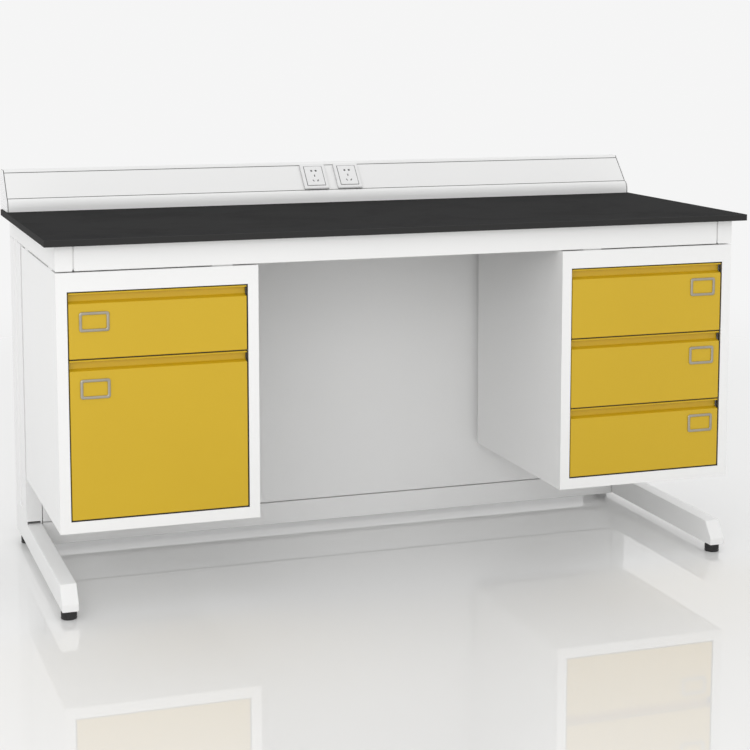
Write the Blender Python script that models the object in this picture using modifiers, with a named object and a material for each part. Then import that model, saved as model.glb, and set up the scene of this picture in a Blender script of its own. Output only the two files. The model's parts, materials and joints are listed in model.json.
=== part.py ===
"""Teacher desk on two cantilever steel frames, with two hung drawer pedestals and a socket trunking.

Metres, +Z up. The front looks along -Y, X runs along the worktop, and the origin is on the floor
under the middle of the desk's bounding box. Each sub-part is one named object. A drawer and what is
fixed to it hang on an empty, and so do its two middle slide members: both travel along -Y.
"""

import math

import bmesh
import bpy
from mathutils import Matrix, Vector

# ---------------------------------------------------------------- driving dimensions
DESK_HEIGHT = 0.900  # floor to the top of the worktop
WORKTOP_WIDTH = 1.800
WORKTOP_DEPTH = 0.760
WORKTOP_THICKNESS = 0.016
WORKTOP_OVERHANG = 0.028  # past the frame, at the front and at both sides
WORKTOP_ARRIS = 0.001
FRAME_PAST_WORKTOP = 0.040  # back edge of the worktop to the back of the columns

TOUCH_GAP = 0.0003  # between two solids that touch on the real desk
CUT_SPARE = 0.004  # how far a cutter runs past what it cuts
SHADOW_GAP = 0.003  # between two pieces with a visible joint line

TUBE_WIDTH = 0.040
TUBE_HEIGHT = 0.060
TUBE_WALL = 0.002
TUBE_CORNER = 0.0025

COLUMN_DEPTH = 0.195
COLUMN_WALL = 0.0015
COLUMN_GROOVE_WIDTH = 0.050
COLUMN_GROOVE_DEPTH = 0.004
COLUMN_GROOVE_SETBACK = 0.068  # column front to the near side of the groove
COLUMN_GROOVE_START = 0.026  # above the column's foot
CABLE_SLOT_HEIGHT = 0.006

FOOT_SETBACK = 0.002  # foot's nose behind the front plane
FOOT_SLOPE_LENGTH = 0.030
FOOT_NOSE_HEIGHT = 0.018

FRONT_RAIL_DEPTH = 0.030
SPIGOT_STEP = 0.004  # how far a spigot lies inside the face of its rail
REAR_RAIL_DEPTH = 0.040
REAR_RAIL_SETBACK = 0.022  # column back to the rail's back
BEAM_DEPTH = 0.040

PANEL_SHEET = 0.0015
PANEL_RETURN = 0.018
SERVICE_COVER_SETBACK = 0.012  # column back to the cover's face
SERVICE_COVER_BOTTOM = 0.105
GLAND_RADIUS = 0.011
GLAND_LENGTH = 0.022
GLAND_FLANGE_RADIUS = 0.016
GLAND_FLANGE_THICKNESS = 0.003
GLAND_BORE_RADIUS = 0.0045
GLAND_HEIGHT = 0.150  # above the floor
GLAND_FROM_END = 0.120  # from the end of the service cover

LEVELLER_HEIGHT = 0.022  # floor to the underside of the foot tube
LEVELLER_PAD_RADIUS = 0.019
LEVELLER_PAD_HEIGHT = 0.0205
LEVELLER_EDGE = 0.0015
LEVELLER_STEM_RADIUS = 0.005
LEVELLER_STEM_SEGMENTS = 12
LEVELLER_STEM_LENGTH = 0.030
LEVELLER_FRONT_INSET = 0.028  # from the foot's nose to the stem
LEVELLER_REAR_INSET = 0.075  # from the foot's back end to the stem
STEM_CLEARANCE = 0.0006
WELD_NUT_RADIUS = 0.009
WELD_NUT_HEIGHT = 0.010

PEDESTAL_WIDTH = 0.478
PEDESTAL_ABOVE_FOOT = 0.1277  # top of a foot tube to the underside of a pedestal
PEDESTAL_SHEET = 0.0015
STILE_WIDTH = 0.0255
TOP_RAIL_HEIGHT = 0.0445
BOTTOM_RAIL_HEIGHT = 0.0275
FACE_RETURN = 0.019
FACE_LIP = 0.006  # the face frame's front skin past its return, round the opening
PANEL_CLEARANCE = 0.022  # back of a pedestal to the rear panel
POST_WIDTH = 0.040
POST_INSET = 0.012  # from the end of a slide to the near side of its post
POST_END_GAP = 0.010
SPACER_LENGTH = 0.050
SPACER_WIDTH = 0.026
SPACER_INSET = 0.060  # pedestal's front or back to a spacer's near or far side

DRAWER_GAP = 0.003
FRONT_INSET = 0.001
FRONT_THICKNESS = 0.0195
FRONT_SHEET = 0.0012
FRONT_EDGE = 0.0018
LEFT_TOP_FRONT_HEIGHT = 0.154
RIGHT_DRAWERS = 3
PULL_LIP_HEIGHT = 0.004
PULL_DEPTH = 0.0145
PULL_WALL_HEIGHT = 0.017
PULL_SLOPE_HEIGHT = 0.0045

BOX_SHEET = 0.0012
BOX_BACK_CLEARANCE = 0.0327  # back of a drawer's box and slides to the pedestal's back sheet
BOX_BELOW_FRONT_TOP = 0.035
BOX_ABOVE_FRONT_BOTTOM = 0.010

SLIDE_WIDTH = 0.0127
SLIDE_SHEET = 0.0015
SLIDE_HEIGHT = 0.045
SLIDE_RACE = 0.001  # the ball race between two members
SLIDE_WEB_GAP = 0.0005
SLIDE_ABOVE_BOX = 0.040  # drawer box bottom to the middle of the slide
SLIDE_PLANE = 0.0245  # pedestal side to the face that the slides are screwed to

HOLDER_WIDTH = 0.070
HOLDER_HEIGHT = 0.046
HOLDER_THICKNESS = 0.0028
HOLDER_RIM = 0.0065
HOLDER_CORNER = 0.006
HOLDER_WINDOW_CORNER = 0.003
HOLDER_CHANNEL = 0.0012
HOLDER_CHANNEL_REACH = 0.002
LEFT_HOLDER_FROM_SIDE = 0.024
LEFT_HOLDER_FROM_TOP = 0.045
RIGHT_HOLDER_FROM_SIDE = 0.0175
RIGHT_HOLDER_FROM_TOP = 0.037

TRUNK_END_INSET = 0.004  # end of the worktop to the outside of an end cap
TRUNK_SHEET = 0.002
TRUNK_CAP = 0.003
TRUNK_CAP_GAP = 0.0016  # the fine joint between the housing and an end cap
TRUNK_SEAM = 0.0020  # the fine joint above and below the cover
TRUNK_ON_WORKTOP = 0.096  # trunking's foot to the back edge of the worktop
TRUNK_SKIRT_HEIGHT = 0.009
TRUNK_SHOULDER_RISE = 0.024
TRUNK_SHOULDER_RUN = 0.0145
TRUNK_SHOULDER_STEPS = 8
TRUNK_SLOPE_ANGLE = math.radians(48.0)  # from level
TRUNK_RIDGE_RISE = 0.0055
TRUNK_RIDGE_RUN = 0.0045
TRUNK_TOP_RUN = 0.0435
TRUNK_TAIL = 0.014  # how far the back wall hangs below the worktop's top
END_CAP_PLUG_INSET = 0.008  # how far the plug of an end cap lies inside the cap's outline
END_CAP_PLUG_DEPTH = 0.009
COVER_LEDGE_INSET = 0.010
COVER_LEDGE_DEPTH = 0.005
CABLE_CUT_LENGTH = 0.160
CABLE_CUT_PITCH = 0.560
CABLE_CUT_FROM_WORKTOP = 0.002
CABLE_CUT_FROM_WALL = 0.005

SOCKET_WIDTH = 0.070
SOCKET_HEIGHT = 0.0845
SOCKET_MARGIN = 0.0015  # a socket's plate to the lower and upper edges of the slope
SOCKET_RISE = 0.0075
SOCKET_EDGE = 0.0015
SOCKET_PITCH = 0.0965
SOCKET_PANEL_MARGIN = 0.0075
SOCKET_PANEL_STEP = 0.001
SOCKET_BODY_MARGIN = 0.008
SOCKET_BODY_DEPTH = 0.024
SOCKET_PIN_DEPTH = 0.016
SOCKET_WINDOW_CLEARANCE = 0.0015  # a socket's body to the edge of the window it goes through
PIN_ROW_SHIFT = 0.0169  # middle of a socket to its upper and lower rows of pin holes
ROUND_PIN_RADIUS = 0.0030
ROUND_PIN_SEGMENTS = 12
ROUND_PIN_SPACING = 0.0127
FLAT_PIN_WIDTH = 0.0025
FLAT_PIN_LENGTH = 0.0072
FLAT_PIN_SPACING = 0.0127
FLAT_PIN_TILT = math.radians(30.0)

ROUND_SEGMENTS = 24
HEXAGON = 6

# ---------------------------------------------------------------- planes worked out from them
WORKTOP_BOTTOM = DESK_HEIGHT - WORKTOP_THICKNESS
ARM_TOP = WORKTOP_BOTTOM - TOUCH_GAP
ARM_BOTTOM = ARM_TOP - TUBE_HEIGHT
FOOT_BOTTOM = LEVELLER_HEIGHT
FOOT_TOP = FOOT_BOTTOM + TUBE_HEIGHT
FRAME_DEPTH = WORKTOP_DEPTH - WORKTOP_OVERHANG + FRAME_PAST_WORKTOP
FRONT_Y = (WORKTOP_OVERHANG - FRAME_DEPTH) / 2  # front plane of frame and pedestals
WORKTOP_FRONT = FRONT_Y - WORKTOP_OVERHANG
WORKTOP_BACK = WORKTOP_FRONT + WORKTOP_DEPTH
BACK_Y = FRONT_Y + FRAME_DEPTH
COLUMN_Y = BACK_Y - COLUMN_DEPTH
FRAME_X = WORKTOP_WIDTH / 2 - WORKTOP_OVERHANG  # outer face of a side frame
INNER_X = FRAME_X - TUBE_WIDTH  # its inner face
PEDESTAL_TOP = ARM_BOTTOM - SHADOW_GAP
PEDESTAL_BOTTOM = FOOT_TOP + PEDESTAL_ABOVE_FOOT
PEDESTAL_BACK = COLUMN_Y - PANEL_CLEARANCE
OPENING_TOP = PEDESTAL_TOP - TOP_RAIL_HEIGHT
OPENING_BOTTOM = PEDESTAL_BOTTOM + BOTTOM_RAIL_HEIGHT
DRAWER_Y = FRONT_Y + FRONT_INSET
BOX_Y = DRAWER_Y + FRONT_THICKNESS + TOUCH_GAP
BOX_BACK = PEDESTAL_BACK - PEDESTAL_SHEET - BOX_BACK_CLEARANCE
TRUNK_Y = WORKTOP_BACK - TRUNK_ON_WORKTOP
TRUNK_Z = DESK_HEIGHT + TOUCH_GAP
TRUNK_X = WORKTOP_WIDTH / 2 - TRUNK_END_INSET
TRUNK_INNER_X = TRUNK_X - TRUNK_CAP - TRUNK_CAP_GAP
SLOPE_LENGTH = SOCKET_HEIGHT + 2 * SOCKET_MARGIN
SLOPE_RUN = SLOPE_LENGTH * math.cos(TRUNK_SLOPE_ANGLE)
SLOPE_RISE = SLOPE_LENGTH * math.sin(TRUNK_SLOPE_ANGLE)


# ---------------------------------------------------------------- scene, finishes and helpers
def clear_scene():
    """Empties the scene without closing the file that this script runs from."""
    for existing in list(bpy.data.objects):
        bpy.data.objects.remove(existing, do_unlink=True)


def collection(name):
    """A new collection in the scene."""
    made = bpy.data.collections.new(name)
    bpy.context.scene.collection.children.link(made)
    return made


def finish(name, colour, roughness, metallic=0.0):
    """A Principled material."""
    made = bpy.data.materials.new(name)
    made.use_nodes = True
    shader = made.node_tree.nodes["Principled BSDF"]
    shader.inputs["Base Color"].default_value = (*colour, 1.0)
    shader.inputs["Roughness"].default_value = roughness
    shader.inputs["Metallic"].default_value = metallic
    return made


def add_mesh(name, shape, material, place=(0.0, 0.0, 0.0), into=None):
    """Turns a bmesh into an object of the desk, or of another collection."""
    mesh = bpy.data.meshes.new(name)
    bmesh.ops.recalc_face_normals(shape, faces=shape.faces)
    shape.to_mesh(mesh)
    shape.free()
    made = bpy.data.objects.new(name, mesh)
    made.location = place
    if material is not None:
        mesh.materials.append(material)
    (into or DESK).objects.link(made)
    return made


def block(low, high):
    """A closed box between two corners, as a bmesh around its own middle, and that middle."""
    low, high = Vector(low), Vector(high)
    shape = bmesh.new()
    bmesh.ops.create_cube(shape, size=1.0)
    bmesh.ops.scale(shape, vec=high - low, verts=shape.verts)
    return shape, (low + high) / 2


def box(name, low, high, material, into=None):
    """A box object between two corners."""
    shape, middle = block(low, high)
    return add_mesh(name, shape, material, middle, into)


def disc(name, radius, length, place, material, into=None, along="Z", segments=ROUND_SEGMENTS):
    """A closed cylinder that starts at place and runs along an axis."""
    shape = bmesh.new()
    bmesh.ops.create_cone(
        shape, cap_ends=True, segments=segments, radius1=radius, radius2=radius, depth=length
    )
    bmesh.ops.translate(shape, vec=(0, 0, length / 2), verts=shape.verts)
    if along == "Y":
        bmesh.ops.rotate(shape, matrix=Matrix.Rotation(-math.pi / 2, 3, "X"), verts=shape.verts)
    return add_mesh(name, shape, material, place, into)


def prism(outline, start, end):
    """A closed prism: a (y, z) outline drawn from x = start to x = end."""
    shape = bmesh.new()
    side = shape.faces.new([shape.verts.new((start, y, z)) for y, z in outline])
    grown = bmesh.ops.extrude_face_region(shape, geom=[side])
    moved = [item for item in grown["geom"] if isinstance(item, bmesh.types.BMVert)]
    bmesh.ops.translate(shape, vec=(end - start, 0, 0), verts=moved)
    bmesh.ops.recalc_face_normals(shape, faces=shape.faces)
    return shape


def open_faces(shape, *directions):
    """Removes the outermost face in each direction, which leaves an open shell."""
    for direction in directions:
        way = Vector(direction)
        far = max(shape.faces, key=lambda face: face.calc_center_median().dot(way))
        bmesh.ops.delete(shape, geom=[far], context="FACES_ONLY")


def thicken(part, thickness):
    """Gives an open shell its wall, on the inner side of its faces."""
    wall = part.modifiers.new("wall", "SOLIDIFY")
    wall.thickness = thickness
    wall.offset = -1.0
    wall.use_even_offset = True


def round_edges(part, radius, segments=2):
    """Rounds the sharp edges of a finished solid."""
    rounding = part.modifiers.new("edges", "BEVEL")
    rounding.width = radius
    rounding.segments = segments
    rounding.limit_method = "ANGLE"


def carve(part, tool, operation="DIFFERENCE"):
    """Cuts a tool from a part, or joins it on, and keeps the tool as a wire guide."""
    step = part.modifiers.new(tool.name, "BOOLEAN")
    step.operation = operation
    step.solver = "EXACT"
    step.object = tool
    tool.hide_render = True
    tool.display_type = "WIRE"


def cut_box(part, name, low, high):
    """Cuts a box from a part."""
    carve(part, box(f"{part.name}_{name}", low, high, None, CUTTERS))


def join_box(part, name, low, high):
    """Joins a box to a part."""
    carve(part, box(f"{part.name}_{name}", low, high, None, CUTTERS), "UNION")


def tube(name, low, high, along, open_ends, material):
    """A rectangular tube between two corners, with rounded long edges and its ends open or shut."""
    shape, middle = block(low, high)
    axis = "XYZ".index(along)
    long_edges = [
        edge
        for edge in shape.edges
        if abs(edge.verts[0].co[axis] - edge.verts[1].co[axis]) > min(TUBE_WIDTH, TUBE_HEIGHT) / 2
        and all(
            abs(edge.verts[0].co[other] - edge.verts[1].co[other]) < TOUCH_GAP
            for other in range(3)
            if other != axis
        )
    ]
    bmesh.ops.bevel(shape, geom=long_edges, offset=TUBE_CORNER, segments=2, affect="EDGES", profile=0.5)
    direction = [0.0, 0.0, 0.0]
    for end in open_ends:
        direction[axis] = float(end)
        open_faces(shape, tuple(direction))
    made = add_mesh(name, shape, material, middle)
    thicken(made, TUBE_WALL)
    return made


def tray(name, low, high, open_side, sheet, material):
    """A folded sheet tray: a box between two corners with one side open."""
    shape, middle = block(low, high)
    open_faces(shape, open_side)
    made = add_mesh(name, shape, material, middle)
    thicken(made, sheet)
    return made


def hang_on(empty, *parts):
    """Parents parts to an empty, in place."""
    for part in parts:
        part.parent = empty
        part.matrix_parent_inverse = empty.matrix_basis.inverted()


def guide(name, place):
    """An empty that carries what moves together."""
    made = bpy.data.objects.new(name, None)
    made.empty_display_size = 0.05
    made.location = place
    DESK.objects.link(made)
    return made


clear_scene()
DESK = collection("teacher_desk")
CUTTERS = collection("cutters")

WHITE_STEEL = finish("white_steel", (0.84, 0.84, 0.83), 0.35)
BLACK_TOP = finish("black_resin", (0.035, 0.035, 0.036), 0.45)
YELLOW_STEEL = finish("yellow_steel", (0.63, 0.43, 0.035), 0.40)
ZINC_STEEL = finish("zinc_steel", (0.62, 0.63, 0.64), 0.35, 1.0)
GREY_STEEL = finish("grey_steel", (0.70, 0.70, 0.69), 0.45)
NICKEL = finish("nickel_plate", (0.62, 0.60, 0.55), 0.30, 1.0)
WHITE_PLASTIC = finish("white_plastic", (0.86, 0.86, 0.85), 0.30)
BLACK_PLASTIC = finish("black_plastic", (0.02, 0.02, 0.02), 0.50)


# ---------------------------------------------------------------- worktop
def make_worktop():
    """A solid resin board that overhangs the frame at the front and at both sides."""
    low = (-WORKTOP_WIDTH / 2, WORKTOP_FRONT, WORKTOP_BOTTOM)
    high = (WORKTOP_WIDTH / 2, WORKTOP_BACK, DESK_HEIGHT)
    board = box("worktop", low, high, BLACK_TOP)
    round_edges(board, WORKTOP_ARRIS)


# ---------------------------------------------------------------- side frames
def leveller_places(side):
    """The axes of the two levelling feet under one side frame, front then rear."""
    x = side * (FRAME_X - TUBE_WIDTH / 2)
    front = FRONT_Y + FOOT_SETBACK + LEVELLER_FRONT_INSET
    rear = BACK_Y - LEVELLER_REAR_INSET
    return (("front", (x, front, 0.0)), ("rear", (x, rear, 0.0)))


def make_foot(side, label):
    """A tube with a sloped nose, open at the back, with a weld nut over each levelling foot."""
    nose = FRONT_Y + FOOT_SETBACK
    outline = [
        (nose, FOOT_BOTTOM),
        (BACK_Y, FOOT_BOTTOM),
        (BACK_Y, FOOT_TOP),
        (nose + FOOT_SLOPE_LENGTH, FOOT_TOP),
        (nose, FOOT_BOTTOM + FOOT_NOSE_HEIGHT),
    ]
    shape = prism(outline, side * INNER_X, side * FRAME_X)
    open_faces(shape, (0, 1, 0))
    foot = add_mesh(f"{label}_foot", shape, WHITE_STEEL)
    round_edges(foot, TUBE_CORNER)
    thicken(foot, TUBE_WALL)
    for end, place in leveller_places(side):
        nut_place = (place[0], place[1], FOOT_BOTTOM + TUBE_WALL / 2)
        nut = disc(
            f"{label}_{end}_nut", WELD_NUT_RADIUS, WELD_NUT_HEIGHT, nut_place, None, CUTTERS,
            segments=HEXAGON,
        )
        carve(foot, nut, "UNION")
        hole = disc(
            f"{label}_{end}_hole",
            LEVELLER_STEM_RADIUS + STEM_CLEARANCE,
            TUBE_HEIGHT / 2,
            (place[0], place[1], FOOT_BOTTOM - TUBE_WALL),
            None,
            CUTTERS,
        )
        carve(foot, hole)


def make_column(side, label):
    """A sheet steel column, open at both ends, with a groove down its outer face and a cable slot."""
    low_z, high_z = FOOT_TOP + TOUCH_GAP, ARM_BOTTOM - TOUCH_GAP
    inner, outer = side * INNER_X, side * FRAME_X
    column = box(
        f"{label}_column",
        (min(inner, outer), COLUMN_Y, low_z),
        (max(inner, outer), BACK_Y, high_z),
        WHITE_STEEL,
    )
    groove_near = COLUMN_Y + COLUMN_GROOVE_SETBACK
    groove_far = groove_near + COLUMN_GROOVE_WIDTH
    groove_floor = outer - side * COLUMN_GROOVE_DEPTH
    spare = TUBE_WALL

    def across(name, x_from, x_to, y_from, y_to, z_from, z_to):
        cut_box(column, name, (min(x_from, x_to), y_from, z_from), (max(x_from, x_to), y_to, z_to))

    across("groove", groove_floor, outer + side * spare, groove_near, groove_far,
           low_z + COLUMN_GROOVE_START, high_z + spare)
    inside = inner + side * COLUMN_WALL
    skin = outer - side * COLUMN_WALL
    behind_groove = groove_floor - side * COLUMN_WALL
    across("duct_front", inside, skin, COLUMN_Y + COLUMN_WALL, groove_near - COLUMN_WALL,
           low_z - spare, high_z + spare)
    across("duct_back", inside, skin, groove_far + COLUMN_WALL, BACK_Y - COLUMN_WALL,
           low_z - spare, high_z + spare)
    across("duct_middle", inside, behind_groove, COLUMN_Y + 2 * COLUMN_WALL,
           BACK_Y - 2 * COLUMN_WALL, low_z - 2 * spare, high_z + 2 * spare)
    across("cable_slot", inside + side * COLUMN_WALL, skin - side * COLUMN_WALL,
           COLUMN_Y - spare, COLUMN_Y + 2 * spare, low_z - 3 * spare, low_z + CABLE_SLOT_HEIGHT)


def make_arm(side, label):
    """The tube that carries the worktop: shut at the front, open at the back."""
    inner, outer = side * INNER_X, side * FRAME_X
    tube(
        f"{label}_arm",
        (min(inner, outer), FRONT_Y, ARM_BOTTOM),
        (max(inner, outer), BACK_Y, ARM_TOP),
        "Y",
        (1,),
        WHITE_STEEL,
    )


def make_leveller(label, end, place):
    """A round plastic pad moulded on a threaded stem. It turns about its own axis."""
    pad = disc(f"{label}_{end}_leveller", LEVELLER_PAD_RADIUS, LEVELLER_PAD_HEIGHT, place, BLACK_PLASTIC)
    round_edges(pad, LEVELLER_EDGE)
    stem = disc(
        f"{label}_{end}_stem",
        LEVELLER_STEM_RADIUS,
        LEVELLER_STEM_LENGTH + LEVELLER_PAD_HEIGHT / 2,
        (place[0], place[1], LEVELLER_PAD_HEIGHT / 2),
        None,
        CUTTERS,
        segments=LEVELLER_STEM_SEGMENTS,
    )
    carve(pad, stem, "UNION")
    hang_on(guide(f"{label}_{end}_leveller_axis", place), pad, stem)


# ---------------------------------------------------------------- rails, beam and panels
def make_rail(name, y_from, y_to, z_from, z_to):
    """A tube between the side frames. Its thinner spigots leave a shadow line at each frame."""
    face_x = INNER_X - SHADOW_GAP
    rail = box(name, (-face_x, y_from, z_from), (face_x, y_to, z_to), WHITE_STEEL)
    round_edges(rail, TUBE_CORNER / 2, 1)
    spigot_x = INNER_X - TOUCH_GAP
    join_box(
        rail,
        "spigot",
        (-spigot_x, y_from + SPIGOT_STEP, z_from + SPIGOT_STEP),
        (spigot_x, y_to - SPIGOT_STEP, z_to - SPIGOT_STEP),
    )
    bore = SPIGOT_STEP + TUBE_WALL
    cut_box(
        rail,
        "bore",
        (-INNER_X - bore, y_from + bore, z_from + bore),
        (INNER_X + bore, y_to - bore, z_to - bore),
    )


def make_rails():
    """The front and rear rails under the worktop, and the beam between the feet."""
    make_rail("front_rail", FRONT_Y, FRONT_Y + FRONT_RAIL_DEPTH, ARM_BOTTOM, ARM_TOP)
    rear = BACK_Y - REAR_RAIL_SETBACK
    make_rail("rear_rail", rear - REAR_RAIL_DEPTH, rear, ARM_BOTTOM, ARM_TOP)
    make_rail("lower_beam", COLUMN_Y, COLUMN_Y + BEAM_DEPTH, FOOT_BOTTOM, FOOT_TOP)


def make_panels():
    """The knee-space panel, and the service cover that closes the cable duct from behind."""
    reach = INNER_X - SHADOW_GAP
    tray(
        "rear_panel",
        (-reach, COLUMN_Y, FOOT_TOP + SHADOW_GAP),
        (reach, COLUMN_Y + PANEL_RETURN, ARM_TOP),
        (0, 1, 0),
        PANEL_SHEET,
        WHITE_STEEL,
    )
    face = BACK_Y - SERVICE_COVER_SETBACK
    cover = tray(
        "service_cover",
        (-reach, face - PANEL_RETURN / 2, SERVICE_COVER_BOTTOM),
        (reach, face, DESK_HEIGHT - TRUNK_TAIL - SHADOW_GAP),
        (0, -1, 0),
        PANEL_SHEET,
        WHITE_STEEL,
    )
    gland_x = reach - GLAND_FROM_END
    hole = disc(
        "service_cover_gland_hole",
        GLAND_RADIUS + TOUCH_GAP,
        PANEL_RETURN,
        (gland_x, face - PANEL_RETURN / 2, GLAND_HEIGHT),
        None,
        CUTTERS,
        along="Y",
    )
    carve(cover, hole)
    make_gland(gland_x, face)


def make_gland(gland_x, face):
    """The plastic gland that the mains supply comes in by."""
    barrel_y = face + GLAND_FLANGE_THICKNESS + TOUCH_GAP - GLAND_LENGTH
    gland = disc("mains_gland", GLAND_RADIUS, GLAND_LENGTH, (gland_x, barrel_y, GLAND_HEIGHT),
                 BLACK_PLASTIC, along="Y")
    flange = disc("mains_gland_flange", GLAND_FLANGE_RADIUS, GLAND_FLANGE_THICKNESS,
                  (gland_x, face + TOUCH_GAP, GLAND_HEIGHT), None, CUTTERS, along="Y",
                  segments=HEXAGON)
    carve(gland, flange, "UNION")
    bore = disc("mains_gland_bore", GLAND_BORE_RADIUS, GLAND_LENGTH * 2,
                (gland_x, barrel_y - GLAND_LENGTH / 2, GLAND_HEIGHT), None, CUTTERS, along="Y")
    carve(gland, bore)


# ---------------------------------------------------------------- pedestals
def pedestal_span(side):
    """The x of a pedestal's outer and inner sides, in rising order."""
    outer, inner = side * FRAME_X, side * (FRAME_X - PEDESTAL_WIDTH)
    return min(outer, inner), max(outer, inner)


def make_pedestal(side, label):
    """A sheet steel case with a face frame, four slide posts and four spacers under the frame."""
    x_from, x_to = pedestal_span(side)
    shell = tray(
        f"{label}_pedestal",
        (x_from, FRONT_Y, PEDESTAL_BOTTOM),
        (x_to, PEDESTAL_BACK, PEDESTAL_TOP),
        (0, -1, 0),
        PEDESTAL_SHEET,
        WHITE_STEEL,
    )
    open_from, open_to = x_from + STILE_WIDTH, x_to - STILE_WIDTH
    lap = PEDESTAL_SHEET / 2
    frame = box(
        f"{shell.name}_face",
        (x_from + lap, FRONT_Y, PEDESTAL_BOTTOM + lap),
        (x_to - lap, FRONT_Y + FACE_RETURN, PEDESTAL_TOP - lap),
        None,
        CUTTERS,
    )
    cut_box(
        frame,
        "opening",
        (open_from, FRONT_Y - lap, OPENING_BOTTOM),
        (open_to, FRONT_Y + FACE_RETURN + lap, OPENING_TOP),
    )
    cut_box(
        frame,
        "rebate",
        (open_from - FACE_LIP, FRONT_Y + PEDESTAL_SHEET, OPENING_BOTTOM - FACE_LIP),
        (open_to + FACE_LIP, FRONT_Y + FACE_RETURN + 2 * lap, OPENING_TOP + FACE_LIP),
    )
    wall = FACE_LIP + PEDESTAL_SHEET
    hollow = box(
        f"{shell.name}_face_hollow",
        (x_from - lap, FRONT_Y + PEDESTAL_SHEET, PEDESTAL_BOTTOM - lap),
        (x_to + lap, FRONT_Y + FACE_RETURN + 4 * lap, PEDESTAL_TOP + lap),
        None,
        CUTTERS,
    )
    cut_box(
        hollow,
        "core",
        (open_from - wall, FRONT_Y, OPENING_BOTTOM - wall),
        (open_to + wall, FRONT_Y + 2 * FACE_RETURN, OPENING_TOP + wall),
    )
    carve(frame, hollow)
    carve(shell, frame, "UNION")
    make_posts(shell, x_from, x_to)
    make_spacers(shell, x_from, x_to)


def make_posts(shell, x_from, x_to):
    """Folded posts inside the pedestal's sides, which the slides are screwed to."""
    z_from, z_to = PEDESTAL_BOTTOM + POST_END_GAP, PEDESTAL_TOP - POST_END_GAP
    starts = (BOX_Y + POST_INSET, BOX_BACK - POST_INSET - POST_WIDTH)
    for wall_x, inward in ((x_from, 1), (x_to, -1)):
        skin = wall_x + inward * PEDESTAL_SHEET / 2
        face = wall_x + inward * (SLIDE_PLANE - TOUCH_GAP)
        for number, start in enumerate(starts):
            name = f"{shell.name}_post_{'left' if inward > 0 else 'right'}_{number}"
            post = box(
                name,
                (min(skin, face), start, z_from),
                (max(skin, face), start + POST_WIDTH, z_to),
                None,
                CUTTERS,
            )
            near = wall_x + inward * (PEDESTAL_SHEET + TOUCH_GAP)
            far = face - inward * PEDESTAL_SHEET
            cut_box(
                post,
                "hollow",
                (min(near, far), start + PEDESTAL_SHEET, z_from - PEDESTAL_SHEET),
                (max(near, far), start + POST_WIDTH - PEDESTAL_SHEET, z_to + PEDESTAL_SHEET),
            )
            carve(shell, post, "UNION")


def make_spacers(shell, x_from, x_to):
    """Pads that the pedestal is bolted up through, set back so that only a shadow line shows."""
    outer_from = x_from if x_from < 0 else x_to - SPACER_WIDTH
    starts = (FRONT_Y + SPACER_INSET, PEDESTAL_BACK - SPACER_INSET - SPACER_LENGTH)
    for number, start in enumerate(starts):
        join_box(
            shell,
            f"spacer_{number}",
            (outer_from + PEDESTAL_SHEET, start, PEDESTAL_TOP - PEDESTAL_SHEET / 2),
            (outer_from + SPACER_WIDTH - PEDESTAL_SHEET, start + SPACER_LENGTH, ARM_BOTTOM - TOUCH_GAP),
        )
    rail_y = FRONT_Y + SPIGOT_STEP
    inner_from = x_to - SPACER_INSET - SPACER_LENGTH if x_from < 0 else x_from + SPACER_INSET
    join_box(
        shell,
        "spacer_rail",
        (inner_from, rail_y + SPIGOT_STEP, PEDESTAL_TOP - PEDESTAL_SHEET / 2),
        (inner_from + SPACER_LENGTH, FRONT_Y + FRONT_RAIL_DEPTH - SPIGOT_STEP, ARM_BOTTOM - TOUCH_GAP),
    )


# ---------------------------------------------------------------- drawers
def make_front(name, x_from, x_to, z_from, z_to):
    """A folded front whose top is a finger pull: a lip, a back wall and a slope to the face."""
    y = DRAWER_Y
    wall_top = z_to - PULL_LIP_HEIGHT
    wall_bottom = wall_top - PULL_WALL_HEIGHT
    back = y + FRONT_THICKNESS
    outline = [
        (back, z_to),
        (y, z_to),
        (y, wall_top),
        (y + PULL_DEPTH, wall_top),
        (y + PULL_DEPTH, wall_bottom),
        (y, wall_bottom - PULL_SLOPE_HEIGHT),
        (y, z_from),
        (back, z_from),
    ]
    shape = prism(outline, x_from, x_to)
    front = add_mesh(name, shape, YELLOW_STEEL)
    round_edges(front, FRONT_EDGE, 3)
    cavity_top = wall_bottom - PULL_SLOPE_HEIGHT - FRONT_SHEET
    cut_box(
        front,
        "cavity",
        (x_from + FRONT_SHEET, y + FRONT_SHEET, z_from + FRONT_SHEET),
        (x_to - FRONT_SHEET, back + FRONT_SHEET, cavity_top),
    )
    cut_box(
        front,
        "pull_cavity",
        (x_from + 2 * FRONT_SHEET, y + PULL_DEPTH + FRONT_SHEET, cavity_top - FRONT_SHEET),
        (x_to - 2 * FRONT_SHEET, back + 2 * FRONT_SHEET, z_to - FRONT_SHEET),
    )
    return front


def slide_section(face_x, inward):
    """The x of the slide's three members from the face they are screwed to, by member."""
    def at(step):
        return face_x + inward * step

    middle_web = SLIDE_SHEET + SLIDE_WEB_GAP
    inner_reach = middle_web + SLIDE_SHEET + SLIDE_RACE
    return {
        "fixed": (at(0.0), at(SLIDE_WIDTH - SLIDE_WEB_GAP)),
        "middle": (at(middle_web), at(SLIDE_WIDTH - SLIDE_WEB_GAP)),
        "drawer": (at(inner_reach), at(SLIDE_WIDTH)),
    }


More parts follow.
